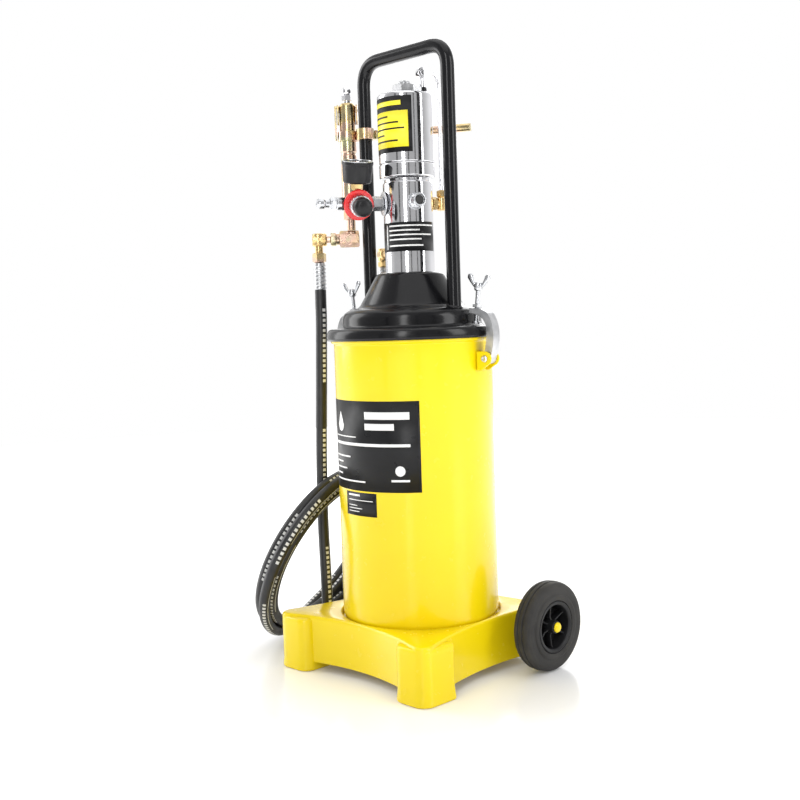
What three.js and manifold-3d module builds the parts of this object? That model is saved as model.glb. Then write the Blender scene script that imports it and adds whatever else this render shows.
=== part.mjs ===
// Wheeled pneumatic grease dispenser, in millimetres, +Z up.
// A steel drum stands on a wheeled foot frame. Its lid carries an air-driven pump with a regulator,
// a push handle, and a high-pressure hose that ends in a lever gun.
// Everything is laid out from the drum's axis, with the floor at z = 0, and the whole group is then
// moved so that its origin is at the middle of its footprint.

import * as THREE from 'three';
import { mergeVertices } from 'three/addons/utils/BufferGeometryUtils.js';
import Module from 'manifold-3d';

const wasm = await Module();
wasm.setup();

// ---- driving dimensions ----

const fitGap = 0.3;          // between pieces that rest on or sit in each other
const runGap = 0.6;          // between pieces that turn or slide on each other

const drumRadius = 100;
const drumWall = 1.5;
const drumHeight = 355;
const drumRimReach = 4;      // how far the rolled rim stands out of the wall

const baseTop = 71;          // top face of the foot frame
const baseWall = 4;
const basePlate = 4;         // thickness of the plate under the drum
const baseSeatDepth = 7;     // how deep the drum sits in the frame
const baseClearance = 11;    // lower edge of the frame's walls above the floor
const frontOverhang = 31;    // corners over the feet, beyond the drum's wall
const rearOverhang = 16;     // corners between the wheels
const sideOverhang = 8;      // middle of each curved side
const footWidth = 52;
const drainRadius = 36;

const wheelRadius = 56;
const wheelWidth = 28;
const axleInset = 41;        // axle's middle in from the frame's rear corners
const wheelStandOff = 33;    // wheel's inner face from the drum's wall
const axleRadius = 4;
const hubRadius = 8;
const capLength = 3;

const gasketThickness = 3;
const lidOverhang = 8.7;     // flange beyond the drum's wall
const lidStepInset = 12;     // the step's wall in from the drum's
const lidConeRadius = 65;
const lidTopReach = 12.8;    // the lid's flat top beyond the pump's wall
const lidHeight = 82;        // from the drum's rim to the lid's flat top
const lidWall = 3;

const handleReach = 74;      // each leg's centre from the drum's axis
const handleTubeRadius = 8.5;
const handleBend = 30;
const handleRise = 362.7;    // top of the handle above the drum's rim

const clampAngles = { right: 100, left: 276 };
const clampPinDrop = 27.3;   // pin's centre below the drum's rim
const clampPinOut = 12;      // pin's centre outside the drum's wall
const clampPinRadius = 3;
const clampWidth = 15;
const boltRadius = 3;
const boltOut = -3;          // bolt's axis from the drum's wall
const boltTilt = 6;

const barrelRadius = 31.2;
const cylinderStep = 3.6;    // the air cylinder's wall beyond the barrel's
const barrelRise = 198.2;    // these rises are above the drum's rim
const collarGap = 1.5;
const collarHeight = 17.5;
const cylinderRise = 302.7;
const cylinderWall = 3;
const capHeight = 17;
const capAcrossFlats = 27;
const portRise = 168.7;
const headTurn = 62;         // compass direction of the muffler, from -Y towards +X

const suctionRadius = 20;
const suctionWall = 3;
const suctionClearance = 19.7;  // foot of the tube above the drum's
const rodRadius = 8;
const pistonThickness = 14;
const pistonRise = 252.7;
const followerRise = 235.7;  // follower plate above the foot of the drum
const followerThickness = 6;
const followerLip = 12;

const gaugeRadius = 19.5;
const gaugeHeight = 27;
const regulatorOff = 35.8;   // regulator's middle from the pump's wall
const couplingLength = 15;
const regulatorTilt = 14;    // how far the knob dips below level

const hangerRise = 264.7;
const hangerLength = 157;
const gunX = -100;
const gunY = -7;
const gunRadius = 10.5;
const gunRise = 170.7;       // foot of the gun above the drum's rim
const gunLength = 137;
const armTurn = 46;          // the swivel arm leaves the gun square to this compass direction
const swivelDrop = 39;       // swivel's middle below the foot of the gun
const swivelAcross = 19;
const elbowOut = 44;         // from the gun's axis to the hose

const hoseRadius = 7.5;
const ferruleRadius = 8;
const ferruleLength = 36;

const coilRadius = 121;      // middle of the coil's turns
const coilSpread = 15.5;     // half the height of the bundle of turns
const coilFootX = -229;
const coilFootY = -25;
const coilTurn = 16;         // compass turn of the coil's lean from +X
const coilLean = 27;         // lean from upright

const outletTurn = 242;      // compass direction of the grease outlet
const outletRise = 112.7;
const outletOff = 22;        // from the drum's wall, so that the hose hangs clear of the lid's flange

const roundSides = 28;
const drumSides = 36;

// ---- places that follow from them ----

const deg = Math.PI / 180;
const drumBottom = baseTop - baseSeatDepth + fitGap;
const drumTop = drumBottom + drumHeight;
const frontReach = drumRadius + frontOverhang;
const rearReach = drumRadius + rearOverhang;
const sideReach = drumRadius + sideOverhang;
const wheelY = rearReach - axleInset;
const wheelInnerX = drumRadius + wheelStandOff;
const lidFlangeRadius = drumRadius + lidOverhang;
const lidStepRadius = drumRadius - lidStepInset;
const lidTopRadius = barrelRadius + lidTopReach;
const handleTop = drumTop + handleRise;
const clampPinHeight = drumTop - clampPinDrop;
const cylinderRadius = barrelRadius + cylinderStep;
const barrelTop = drumTop + barrelRise;
const collarBottom = barrelTop + collarGap;
const collarTop = collarBottom + collarHeight;
const cylinderTop = drumTop + cylinderRise;
const portHeight = drumTop + portRise;
const suctionBottom = drumBottom + suctionClearance;
const pistonHeight = drumTop + pistonRise;
const followerHeight = drumBottom + followerRise;
const regulatorOut = barrelRadius + regulatorOff;
const hangerHeight = drumTop + hangerRise;
const gunBottom = drumTop + gunRise;
const gunTop = gunBottom + gunLength;
const swivelZ = gunBottom - swivelDrop;
const outletHeight = drumTop + outletRise;
const outletOut = drumRadius + outletOff;
const lidSeat = drumTop + gasketThickness + 2 * fitGap;
const lidTop = drumTop + lidHeight;
const lidStepZ = lidSeat + 31;
const at = (x, y, z) => new THREE.Vector3(x, y, z);
const compass = (angle) => at(Math.sin(angle * deg), -Math.cos(angle * deg), 0);

// ---- materials ----

const paint = (color, roughness, metalness) => new THREE.MeshStandardMaterial({ color, roughness, metalness });
const yellowPaint = paint(0xf8e11c, 0.25, 0);
const blackPaint = paint(0x141414, 0.22, 0);
const chrome = paint(0xd8d8da, 0.1, 1);
const zinc = paint(0xb9bcc0, 0.35, 1);
const yellowZinc = paint(0xc9a65c, 0.35, 1);
const brass = paint(0xb9924a, 0.3, 1);
const tyreRubber = paint(0x33322f, 0.75, 0);
const hoseRubber = paint(0x17181a, 0.55, 0);
const blackPlastic = paint(0x1b1c1e, 0.45, 0);
const redPlastic = paint(0xc8141e, 0.35, 0);
const clearPlastic = paint(0xe8eef0, 0.1, 0);
const steel = paint(0x9a9da1, 0.4, 1);

// ---- shape tools ----

// one closed body: shared corners merged, empty triangles dropped, faces pointing out
function weld(geometry) {
  const bare = geometry.clone();
  bare.deleteAttribute('normal');
  bare.deleteAttribute('uv');
  const merged = mergeVertices(bare, 1e-4);
  const index = Array.from(merged.index.array);
  const kept = [];
  for (let i = 0; i < index.length; i += 3) {
    const [a, b, c] = index.slice(i, i + 3);
    if (a !== b && b !== c && c !== a) kept.push(a, b, c);
  }
  merged.setIndex(kept);
  if (volumeOf(merged) < 0) {
    for (let i = 0; i < kept.length; i += 3) [kept[i], kept[i + 1]] = [kept[i + 1], kept[i]];
    merged.setIndex(kept);
  }
  return merged;
}

function volumeOf(geometry) {
  const place = geometry.attributes.position;
  const index = geometry.index.array;
  const corner = [0, 1, 2].map(() => at());
  let sum = 0;
  for (let i = 0; i < index.length; i += 3) {
    corner.forEach((point, k) => point.fromBufferAttribute(place, index[i + k]));
    sum += corner[0].dot(corner[1].clone().cross(corner[2])) / 6;
  }
  return sum;
}

function solidOf(geometry) {
  const closed = weld(geometry);
  const vertProperties = new Float32Array(closed.attributes.position.array);
  const triVerts = new Uint32Array(closed.index.array);
  return new wasm.Manifold(new wasm.Mesh({ numProp: 3, vertProperties, triVerts }));
}

function geometryOf(solid) {
  const mesh = solid.getMesh();
  const geometry = new THREE.BufferGeometry();
  geometry.setAttribute('position', new THREE.BufferAttribute(new Float32Array(mesh.vertProperties), 3));
  geometry.setIndex(new THREE.BufferAttribute(new Uint32Array(mesh.triVerts), 1));
  return geometry;
}

const join = (...shapes) => geometryOf(shapes.map(solidOf).reduce((all, next) => all.add(next)));
const cut = (body, ...tools) => geometryOf(tools.map(solidOf).reduce((all, next) => all.subtract(next), solidOf(body)));

// turned piece about Z from [radius, height] points; closed on itself unless it starts on the axis
function turned(points, sides = roundSides) {
  const outline = points.map(([radius, height]) => new THREE.Vector2(radius, height));
  if (points[0][0] > 0) outline.push(outline[0].clone());
  return weld(new THREE.LatheGeometry(outline, sides).rotateX(Math.PI / 2));
}

// upright cylinder standing on z
const rod = (radius, z, height, sides = 16) =>
  weld(new THREE.CylinderGeometry(radius, radius, height, sides).rotateX(Math.PI / 2).translate(0, 0, z + height / 2));

const hexBar = (acrossFlats, z, height) => rod(acrossFlats / Math.sqrt(3), z, height, 6);

const ring = (inner, outer, z, height, sides = roundSides) =>
  turned([[inner, z], [outer, z], [outer, z + height], [inner, z + height]], sides);

const block = (x, y, z) => new THREE.BoxGeometry(x, y, z);

const extruded = (shape, height, curveSegments = 8) =>
  weld(new THREE.ExtrudeGeometry(shape, { depth: height, bevelEnabled: false, curveSegments }));

function tube(path, radius, sides, steps) {
  const section = new THREE.Shape();
  for (let i = 0; i <= sides; i++) {
    const angle = (i / sides) * 2 * Math.PI;
    const point = [radius * Math.cos(angle), radius * Math.sin(angle)];
    if (i === 0) section.moveTo(...point);
    else section.lineTo(...point);
  }
  return weld(new THREE.ExtrudeGeometry(section, { steps, extrudePath: path, bevelEnabled: false }));
}

// turns a piece that was built along +Z to point along a direction, with its foot at a place
function aimed(geometry, direction, place) {
  const turn = new THREE.Quaternion().setFromUnitVectors(at(0, 0, 1), direction.clone().normalize());
  return geometry.clone().applyQuaternion(turn).translate(place.x, place.y, place.z);
}

const group = new THREE.Group();

function add(name, geometry, material, parent = group) {
  const mesh = new THREE.Mesh(geometry, material);
  mesh.name = name;
  parent.add(mesh);
  return mesh;
}

// ---- foot frame ----

// plan outline with bowed sides: wide corners over the feet, narrower ones between the wheels
function frameOutline(inset) {
  const front = frontReach - inset;
  const rear = rearReach - inset;
  const side = sideReach - inset;
  const rounding = 14;
  const bow = (a, b) => 2 * side - (a + b) / 2;
  const shape = new THREE.Shape();
  shape.moveTo(front, -front + rounding);
  shape.quadraticCurveTo(bow(front, rear), 0, rear, rear - rounding);
  shape.quadraticCurveTo(rear, rear, rear - rounding, rear);
  shape.quadraticCurveTo(0, bow(rear, rear), -rear + rounding, rear);
  shape.quadraticCurveTo(-rear, rear, -rear, rear - rounding);
  shape.quadraticCurveTo(bow(front, rear), 0, -front, -front + rounding);
  shape.quadraticCurveTo(-front, -front, -front + rounding, -front);
  shape.quadraticCurveTo(0, -bow(front, front), front - rounding, -front);
  shape.quadraticCurveTo(front, -front, front, -front + rounding);
  return shape;
}

// the quadratic towards -X has to mirror the one towards +X
function mirroredOutline(inset) {
  const points = frameOutline(inset).getPoints(8);
  const half = points.filter((point) => point.x >= -1e-6);
  const sorted = half.sort((a, b) => Math.atan2(a.x, -a.y) - Math.atan2(b.x, -b.y));
  const mirror = sorted.filter((point) => point.x > 1e-6).reverse()
    .map((point) => new THREE.Vector2(-point.x, point.y));
  return new THREE.Shape([...sorted, ...mirror]);
}

function makeBaseFrame() {
  const plateBottom = baseTop - baseSeatDepth - basePlate;
  const body = extruded(mirroredOutline(0), baseTop - baseClearance).translate(0, 0, baseClearance);
  const hollow = extruded(mirroredOutline(baseWall), plateBottom);
  const seat = rod(drumRadius + fitGap + 1.5, baseTop - baseSeatDepth, baseSeatDepth + 1, roundSides);
  const drain = rod(drainRadius, 0, baseTop, roundSides);
  const footMiddle = frontReach - footWidth / 2;
  const feet = [-1, 1].map((side) => {
    const foot = new THREE.Shape();
    const half = footWidth / 2;
    const rounding = 8;
    foot.moveTo(-half, -half + rounding);
    foot.quadraticCurveTo(-half, -half, -half + rounding, -half);
    foot.lineTo(half - rounding, -half);
    foot.quadraticCurveTo(half, -half, half, -half + rounding);
    foot.lineTo(half, half);
    foot.lineTo(-half, half);
    foot.closePath();
    return extruded(foot, plateBottom + 1, 4).translate(side * footMiddle, -footMiddle, 0);
  });
  const axleHole = aimed(rod(axleRadius + runGap, 0, 4 * rearReach), at(1, 0, 0),
    at(-2 * rearReach, wheelY, wheelRadius));
  return add('base_frame', cut(join(cut(body, hollow, seat, drain), ...feet), axleHole), yellowPaint);
}

// ---- wheels and axle ----

function makeWheel(name, side) {
  const wheel = new THREE.Group();
  wheel.position.set(side * wheelInnerX, wheelY, wheelRadius);
  wheel.rotation.y = side * Math.PI / 2;
  group.add(wheel);
  const rimRadius = 33;
  const tread = wheelRadius;
  const tyre = [
    [rimRadius, 3], [tread - 10, 1], [tread - 3, 3], [tread - 0.5, 8], [tread, 13], [tread, wheelWidth - 13],
    [tread - 0.5, wheelWidth - 8], [tread - 3, wheelWidth - 3], [tread - 10, wheelWidth - 1], [rimRadius, wheelWidth - 3],
  ];
  add(`${name}_tyre`, turned(tyre, 28), tyreRubber, wheel);
  const shell = ring(rimRadius - 6, rimRadius - fitGap, 3, wheelWidth - 6, 24);
  const hub = rod(hubRadius, 0, wheelWidth, 18);
  const spokes = Array.from({ length: 6 }, (_, i) =>
    block(24, 2.4, wheelWidth - 14).translate(18, 0, wheelWidth / 2 - 3).rotateZ(i * 60 * deg));
  const web = rod(rimRadius - 4, 6, 3, 24);
  const bore = rod(axleRadius + runGap / 2, -1, wheelWidth + 2);
  add(`${name}_wheel_rim`, cut(join(shell, web, hub, ...spokes), bore), blackPlastic, wheel);
  const hubCap = [
    [0, wheelWidth + fitGap], [hubRadius - 1.5, wheelWidth + fitGap], [hubRadius - 1.5, wheelWidth + 1.5],
    [hubRadius - 3, wheelWidth + capLength], [0, wheelWidth + capLength + 0.5],
  ];
  add(`${name}_hub_cap`, turned(hubCap, 16), yellowPaint, wheel);
}

function makeAxle() {
  const half = wheelInnerX + wheelWidth - fitGap;
  add('axle', aimed(rod(axleRadius, 0, 2 * half), at(1, 0, 0), at(-half, wheelY, wheelRadius)), zinc);
}

// ---- drum, gasket and lid ----

function makeDrum() {
  const rim = drumRadius + drumRimReach;
  add('tank', turned([
    [0, drumBottom], [drumRadius - 8, drumBottom], [drumRadius - 2, drumBottom + 2.5], [drumRadius, drumBottom + 9],
    [drumRadius, drumTop - 5], [rim, drumTop - 4], [rim, drumTop], [drumRadius - drumWall, drumTop],
    [drumRadius - drumWall, drumBottom + 10], [drumRadius - 9, drumBottom + 2.5], [0, drumBottom + 2.5],
  ], drumSides), yellowPaint);
  add('tank_gasket', ring(drumRadius - drumWall, drumRadius + 3, drumTop + fitGap, gasketThickness, drumSides), hoseRubber);
}

function makeLid() {
  const skirt = drumRadius + drumRimReach + 1.5;
  const barrelHole = barrelRadius + fitGap;
  const lidSkirtBottom = drumTop - 1;
  const outer = [
    [skirt, lidSkirtBottom], [lidFlangeRadius, lidSkirtBottom + 2], [lidFlangeRadius, lidSkirtBottom + 9],
    [lidFlangeRadius - 3, lidSeat + 9.5], [lidStepRadius, lidSeat + 10.5], [lidStepRadius, lidStepZ - 8],
    [lidStepRadius - 5, lidStepZ - 1], [lidConeRadius + 7, lidStepZ + 3], [lidConeRadius, lidStepZ + 7],
    [lidTopRadius, lidTop - 5], [lidTopRadius - 7, lidTop], [barrelHole, lidTop],
  ];
  const inner = [
    [barrelHole, lidTop - lidWall], [lidTopRadius - 8, lidTop - lidWall], [lidTopRadius - 3, lidTop - 7],
    [lidConeRadius - 3, lidStepZ + 4], [lidStepRadius - 7, lidStepZ - 4], [lidStepRadius - lidWall, lidStepZ - 9],
    [lidStepRadius - lidWall, lidSeat], [skirt, lidSeat],
  ];
  add('lid', turned([...outer, ...inner], drumSides), blackPaint);
}

// ---- handle ----

function makeHandle() {
  const foot = lidStepZ - 12;
  const top = handleTop - handleTubeRadius;
  const path = new THREE.CurvePath();
  const point = (x, z) => at(x, 0, z);
  path.add(new THREE.LineCurve3(point(-handleReach, foot), point(-handleReach, top - handleBend)));
  path.add(new THREE.QuadraticBezierCurve3(
    point(-handleReach, top - handleBend), point(-handleReach, top), point(-handleReach + handleBend, top)));
  path.add(new THREE.LineCurve3(point(-handleReach + handleBend, top), point(handleReach - handleBend, top)));
  path.add(new THREE.QuadraticBezierCurve3(
    point(handleReach - handleBend, top), point(handleReach, top), point(handleReach, top - handleBend)));
  path.add(new THREE.LineCurve3(point(handleReach, top - handleBend), point(handleReach, foot)));
  const bent = tube(path, handleTubeRadius, 12, 38);
  const seat = turned([
    [0, foot - 20], [lidStepRadius + fitGap, foot - 20], [lidStepRadius + fitGap, lidStepZ - 8],
    [lidStepRadius - 4.7, lidStepZ - 0.4], [lidConeRadius + 7.3, lidStepZ + 3.6],
    [lidConeRadius + 0.6, lidStepZ + 7.3], [lidTopRadius + 0.6, lidTop - 4], [0, lidTop],
  ], drumSides);
  add('handle', cut(bent, seat), blackPaint);
}

// ---- lid clamps ----

// built with the outward direction along +X, then turned to its place round the drum
function makeClamp(name, angle) {
  const clamp = new THREE.Group();
  clamp.rotation.z = (angle - 90) * deg;
  group.add(clamp);
  const pinX = drumRadius + clampPinOut;
  const cheek = clampWidth / 2 + fitGap + 1.5;

  const cheekShape = new THREE.Shape();
  cheekShape.moveTo(drumRadius + 0.8, clampPinHeight - 14);
  cheekShape.lineTo(drumRadius + 8, clampPinHeight - 14);
  cheekShape.absarc(pinX, clampPinHeight, 9, -60 * deg, 90 * deg, false);
  cheekShape.lineTo(drumRadius + 0.8, clampPinHeight + 9);
  cheekShape.closePath();
  const upright = (geometry, y) => geometry.rotateX(Math.PI / 2).translate(0, y, 0);
  const cheeks = [-1, 1].map((side) => upright(extruded(cheekShape, 3), side * cheek + 1.5));
  const back = block(2.4, 2 * cheek, 23).translate(drumRadius + 2, 0, clampPinHeight - 2.5);
  const across = at(0, 1, 0);
  const pinLine = (radius) => aimed(rod(radius, 0, 40), across, at(pinX, -20, clampPinHeight));
  const pinHole = pinLine(clampPinRadius + 0.1);
  add(`${name}_clamp_ear`, cut(join(back, ...cheeks), pinHole), yellowPaint, clamp);

  const pinLength = 2 * cheek + 3 + 1;
  const shank = rod(clampPinRadius, 0, pinLength, 16);
  const heads = [rod(4.6, -1.8, 1.8 - fitGap, 16), rod(4.6, pinLength + fitGap, 1.8 - fitGap, 16)];
  const neck = rod(clampPinRadius, -1.8, pinLength + 3.6, 16);
  add(`${name}_clamp_pin`, aimed(join(shank, neck, ...heads), across,
    at(pinX, -pinLength / 2, clampPinHeight)), zinc, clamp);

  // the hook's plate: up from the pin, round the lid's edge and in over the flange
  const hook = new THREE.Shape();
  const boltX = drumRadius + boltOut;
  const bridge = lidSeat + 26;
  hook.moveTo(pinX - 5, clampPinHeight - 3);
  hook.absarc(pinX, clampPinHeight, 6.5, 210 * deg, 360 * deg, false);
  hook.quadraticCurveTo(pinX + 18, lidSeat + 4, pinX + 4, bridge - 2);
  hook.quadraticCurveTo(pinX - 4, bridge + 5, boltX - 7, bridge + 5);
  hook.lineTo(boltX - 7, bridge - 1);
  hook.quadraticCurveTo(pinX - 4, bridge - 2, pinX + 1, lidSeat + 10);
  hook.quadraticCurveTo(pinX + 4, lidSeat - 8, pinX - 5, clampPinHeight - 3);
  const plate = upright(extruded(hook, clampWidth, 6), clampWidth / 2);
  const pivotHole = pinLine(clampPinRadius + 0.3);
  const lean = at(Math.sin(-boltTilt * deg), 0, -Math.cos(boltTilt * deg));
  const boltTop = at(boltX, 0, bridge + 2);
  const boltHole = aimed(rod(boltRadius + 0.4, -30, 60), lean, boltTop);
  add(`${name}_clamp_hook`, cut(plate, pivotHole, boltHole), zinc, clamp);

  const flangeTop = lidSeat + 10.5;
  const reach = (boltTop.z - flangeTop) / Math.cos(boltTilt * deg) - 1.2;
  const stem = rod(boltRadius, -24, reach + 24, 16);
  const pad = rod(boltRadius + 2, reach - 3, 3, 16);
  const head = rod(5, -31, 8, 16);
  const wings = [-1, 1].map((side) => block(11, 3, 8).rotateY(side * 40 * deg).translate(side * 9, 0, -33));
  add(`${name}_wing_bolt`, aimed(join(stem, pad, head, ...wings), lean, boltTop), zinc, clamp);
}

// ---- pump ----

function makePump() {
  const barrelBottom = drumTop - 20;
  const innerBarrel = barrelRadius - 4;
  const barrel = turned([
    [innerBarrel, barrelBottom], [barrelRadius, barrelBottom], [barrelRadius, barrelTop - 3], [barrelRadius - 2, barrelTop - 2],
    [barrelRadius - 2, barrelTop], [innerBarrel, barrelTop],
  ]);
  const ports = [0, -90, 90].map((turn) => aimed(rod(5, 0, 60), compass(headTurn + turn), at(0, 0, portHeight)));
  const outlet = aimed(rod(5, 0, 60), compass(outletTurn), at(0, 0, outletHeight));
  add('pump_barrel', cut(barrel, ...ports, outlet), chrome);
  add('pump_collar', ring(barrelRadius - 6, cylinderRadius, collarBottom, collarTop - collarBottom), chrome);
  add('air_cylinder', turned([
    [cylinderRadius - cylinderWall, collarTop + fitGap], [cylinderRadius, collarTop + fitGap], [cylinderRadius, cylinderTop - 2],
    [cylinderRadius - 2, cylinderTop], [9, cylinderTop], [9, cylinderTop - 6], [cylinderRadius - cylinderWall, cylinderTop - 6],
  ]), chrome);
  const capBottom = cylinderTop + fitGap;
  const cap = join(hexBar(capAcrossFlats, capBottom, capHeight - 4), rod(8.6, cylinderTop - 5, 8), rod(7, capBottom, capHeight, 20));
  const slot = block(16, 3, 4).translate(0, 0, capBottom + capHeight);
  add('cylinder_cap', cut(cap, slot), chrome);

  add('lid_lock_nut', turned([
    [barrelRadius + fitGap, lidTop - lidWall - fitGap - 9], [lidTopRadius - 6, lidTop - lidWall - fitGap - 9],
    [lidTopRadius - 8.5, lidTop - lidWall - fitGap], [barrelRadius + fitGap, lidTop - lidWall - fitGap],
  ], roundSides), steel);

  const suctionTop = barrelBottom - fitGap;
  const throat = rodRadius + runGap;
  add('suction_tube', turned([
    [suctionRadius - suctionWall, suctionBottom], [suctionRadius, suctionBottom], [suctionRadius, suctionTop - 6],
    [barrelRadius, suctionTop - 6], [barrelRadius, suctionTop], [throat, suctionTop], [throat, suctionTop - 6],
    [suctionRadius - suctionWall, suctionTop - 12],
  ], 20), steel);
  add('foot_valve', join(
    ring(8, suctionRadius, suctionBottom - 8, 8 - fitGap, 20),
    turned([[0, suctionBottom - 5], [9.5, suctionBottom - 5], [6, suctionBottom + 4], [0, suctionBottom + 6]], 16)), brass);

  // the plunger, the long rod and the air piston move as one piece
  add('pump_rod', join(
    rod(rodRadius, suctionBottom + 60, pistonHeight - suctionBottom - 60 - fitGap, 20),
    rod(suctionRadius - suctionWall - runGap, suctionBottom + 50, 24, 20)), steel);
  const pistonRadius = cylinderRadius - cylinderWall - runGap;
  add('air_piston', turned([
    [0, pistonHeight], [pistonRadius, pistonHeight], [pistonRadius, pistonHeight + pistonThickness],
    [8, pistonHeight + pistonThickness], [8, pistonHeight + pistonThickness + 5], [0, pistonHeight + pistonThickness + 5],
  ], 24), brass);

  const followerRadius = drumRadius - drumWall - runGap;
  const followerHole = suctionRadius + runGap;
  add('follower_plate', turned([
    [followerHole, followerHeight], [followerRadius - 3, followerHeight], [followerRadius, followerHeight - followerLip],
    [followerRadius, followerHeight + followerThickness], [followerHole + 5, followerHeight + followerThickness],
    [followerHole + 5, followerHeight + 2 * followerThickness], [followerHole, followerHeight + 2 * followerThickness],
  ]), hoseRubber);
}

// ---- fittings on the pump head ----

function makeMuffler() {
  const out = compass(headTurn);
  const stem = rod(4.6, barrelRadius - 3, 12, 16);
  const nut = hexBar(15, barrelRadius + 1, 5);
  const canister = turned([
    [0, barrelRadius + 6], [8.2, barrelRadius + 6], [8.2, barrelRadius + 18], [6.6, barrelRadius + 19],
    [6.2, barrelRadius + 17.6], [0, barrelRadius + 17.6],
  ], 16);
  add('muffler', aimed(join(stem, nut, canister), out, at(0, 0, portHeight)), zinc);
}

function makeCrossover() {
  const out = compass(headTurn + 90);
  const bend = barrelRadius + 14;
  const foot = out.clone().multiplyScalar(bend).setZ(portHeight);
  const stem = join(rod(4.6, barrelRadius - 3, bend - barrelRadius + 3, 16), hexBar(14, barrelRadius + 1, 6));
  const arm = aimed(stem, out, at(0, 0, portHeight));
  const body = rod(6.5, -9, 20, 16).translate(foot.x, foot.y, foot.z);
  const nut = hexBar(12, 8, 8).translate(foot.x, foot.y, foot.z);
  add('air_elbow', join(arm, body, nut), brass);

  const banjo = at(15.5, 17, cylinderTop + 27);
  const tubeFoot = foot.z + 16 + fitGap;
  const side = at(0.35, 0.94, 0);
  const start = banjo.clone().addScaledVector(side, 7.5 + fitGap);
  const path = new THREE.CatmullRomCurve3([
    at(foot.x, foot.y, tubeFoot), at(foot.x, foot.y, tubeFoot + 50),
    at(foot.x, foot.y, cylinderTop - 10), at(foot.x, foot.y, cylinderTop + 12),
    at(foot.x * 0.99, foot.y * 0.9, cylinderTop + 24), start.clone().addScaledVector(side, 5), start,
  ]);
  add('crossover_tube', tube(path, 2.6, 8, 24), chrome);

  const eye = aimed(rod(7.5, -5, 10, 24), at(0.94, -0.35, 0), banjo);
  const screw = rod(4, cylinderTop + fitGap, 27, 16).translate(banjo.x, banjo.y, 0);
  const socket = aimed(rod(3.8, 4, 3.5, 12), side, banjo);
  add('crossover_fitting', join(eye, screw, socket), chrome);
}

function makeRegulator() {
  // local frame: +X runs out along the air line, +Z up, knob towards the muffler's side
  const line = new THREE.Group();
  line.position.set(0, 0, portHeight);
  line.rotation.z = (headTurn - 180) * deg;
  group.add(line);
  const along = at(1, 0, 0);
  const origin = at();
  const coupling = join(rod(4.6, barrelRadius - 3, 12, 16), hexBar(16, barrelRadius + 1, couplingLength));
  add('regulator_coupling', aimed(coupling, along, origin), zinc, line);

  const head = new THREE.Group();
  head.position.set(regulatorOut, 0, 0);
  head.rotation.x = -regulatorTilt * deg;
  line.add(head);
  const knobWay = at(0, 1, 0);
  const bodyStart = barrelRadius + 1 + couplingLength + fitGap - regulatorOut;
  const neck = aimed(rod(7, bodyStart, 2 * -bodyStart, 20), along, origin);
  const bell = aimed(rod(13.5, -16, 24, 20), knobWay, origin);
  const stemBoss = rod(7, 0, 16, 16);
  add('regulator_body', join(neck, bell, stemBoss), blackPlastic, head);
  add('regulator_ring', aimed(ring(11, 19, 8 + fitGap, 4, 24), knobWay, origin), redPlastic, head);
  const knob = turned([
    [0, 8 + fitGap], [10.4, 8 + fitGap], [10.4, 13], [13.5, 13.5], [13.5, 25], [12, 28], [12, 36], [9, 39], [0, 40],
  ], 20);
  add('regulator_knob', aimed(knob, knobWay, origin), blackPlastic, head);

  const stem = join(rod(5, 16 + fitGap, 9, 16), hexBar(13, 19, 6));
  add('gauge_stem', stem, brass, head);
  const caseFoot = 25 + 2 * fitGap;
  const caseTop = caseFoot + gaugeHeight;
  add('gauge_case', turned([
    [0, caseFoot], [gaugeRadius - 2, caseFoot], [gaugeRadius, caseTop], [gaugeRadius - 1.6, caseTop],
    [gaugeRadius - 1.8, caseTop - 7], [0, caseTop - 7],
  ], 24), blackPlastic, head);
  add('gauge_needle', block(13, 1.6, 0.8).translate(4, 0, caseTop - 5.6), redPlastic, head);
  add('gauge_lens', rod(gaugeRadius - 2.2, caseTop - 2.4, 1.6, 24), clearPlastic, head);

  const plugStart = -bodyStart + fitGap;
  const plug = turned([
    [0, plugStart], [8.4, plugStart], [8.4, plugStart + 6], [7, plugStart + 7], [7, plugStart + 14], [5, plugStart + 16],
    [5, plugStart + 21], [6.6, plugStart + 23], [6.6, plugStart + 28], [4.6, plugStart + 31], [0, plugStart + 31],
  ], 16);
  add('quick_plug', aimed(plug, along, origin), zinc, head);
}

// ---- hanger, gun and its swivels ----

function makeHanger() {
  // one straight bar behind the pump: it touches the left leg and ends at the gun
  const turn = 118;
  const away = compass(turn + 90).multiplyScalar(46);
  const along = compass(turn);
  const height = hangerHeight;
  const length = hangerLength;
  const start = away.clone().addScaledVector(along, -84).setZ(height);
  const bar = aimed(rod(5, 0, length, 16), along, start);
  const legSide = at(-handleReach, 0, height);
  const saddle = ring(handleTubeRadius + fitGap, handleTubeRadius + 3.5, -7, 14, 20).translate(legSide.x, legSide.y, legSide.z);
  const bridge = block(10, 12, 12).translate(legSide.x + 4, legSide.y + 15, legSide.z);
  const gunRing = ring(gunRadius + fitGap, gunRadius + 3.2, -6, 12, 20).translate(gunX, gunY, height);
  const arm = aimed(rod(3.4, 0, 20, 12), at(24, 12, 0), at(gunX + gunRadius + 0.8, gunY + 4, height));
  const leg = rod(handleTubeRadius + fitGap, height - 30, 60, 20).translate(legSide.x, 0, 0);
  const gun = rod(gunRadius + fitGap, height - 30, 60, 20).translate(gunX, gunY, 0);
  add('hanger_bar', cut(join(bar, saddle, bridge, gunRing, arm), leg, gun), yellowZinc);
}

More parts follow.
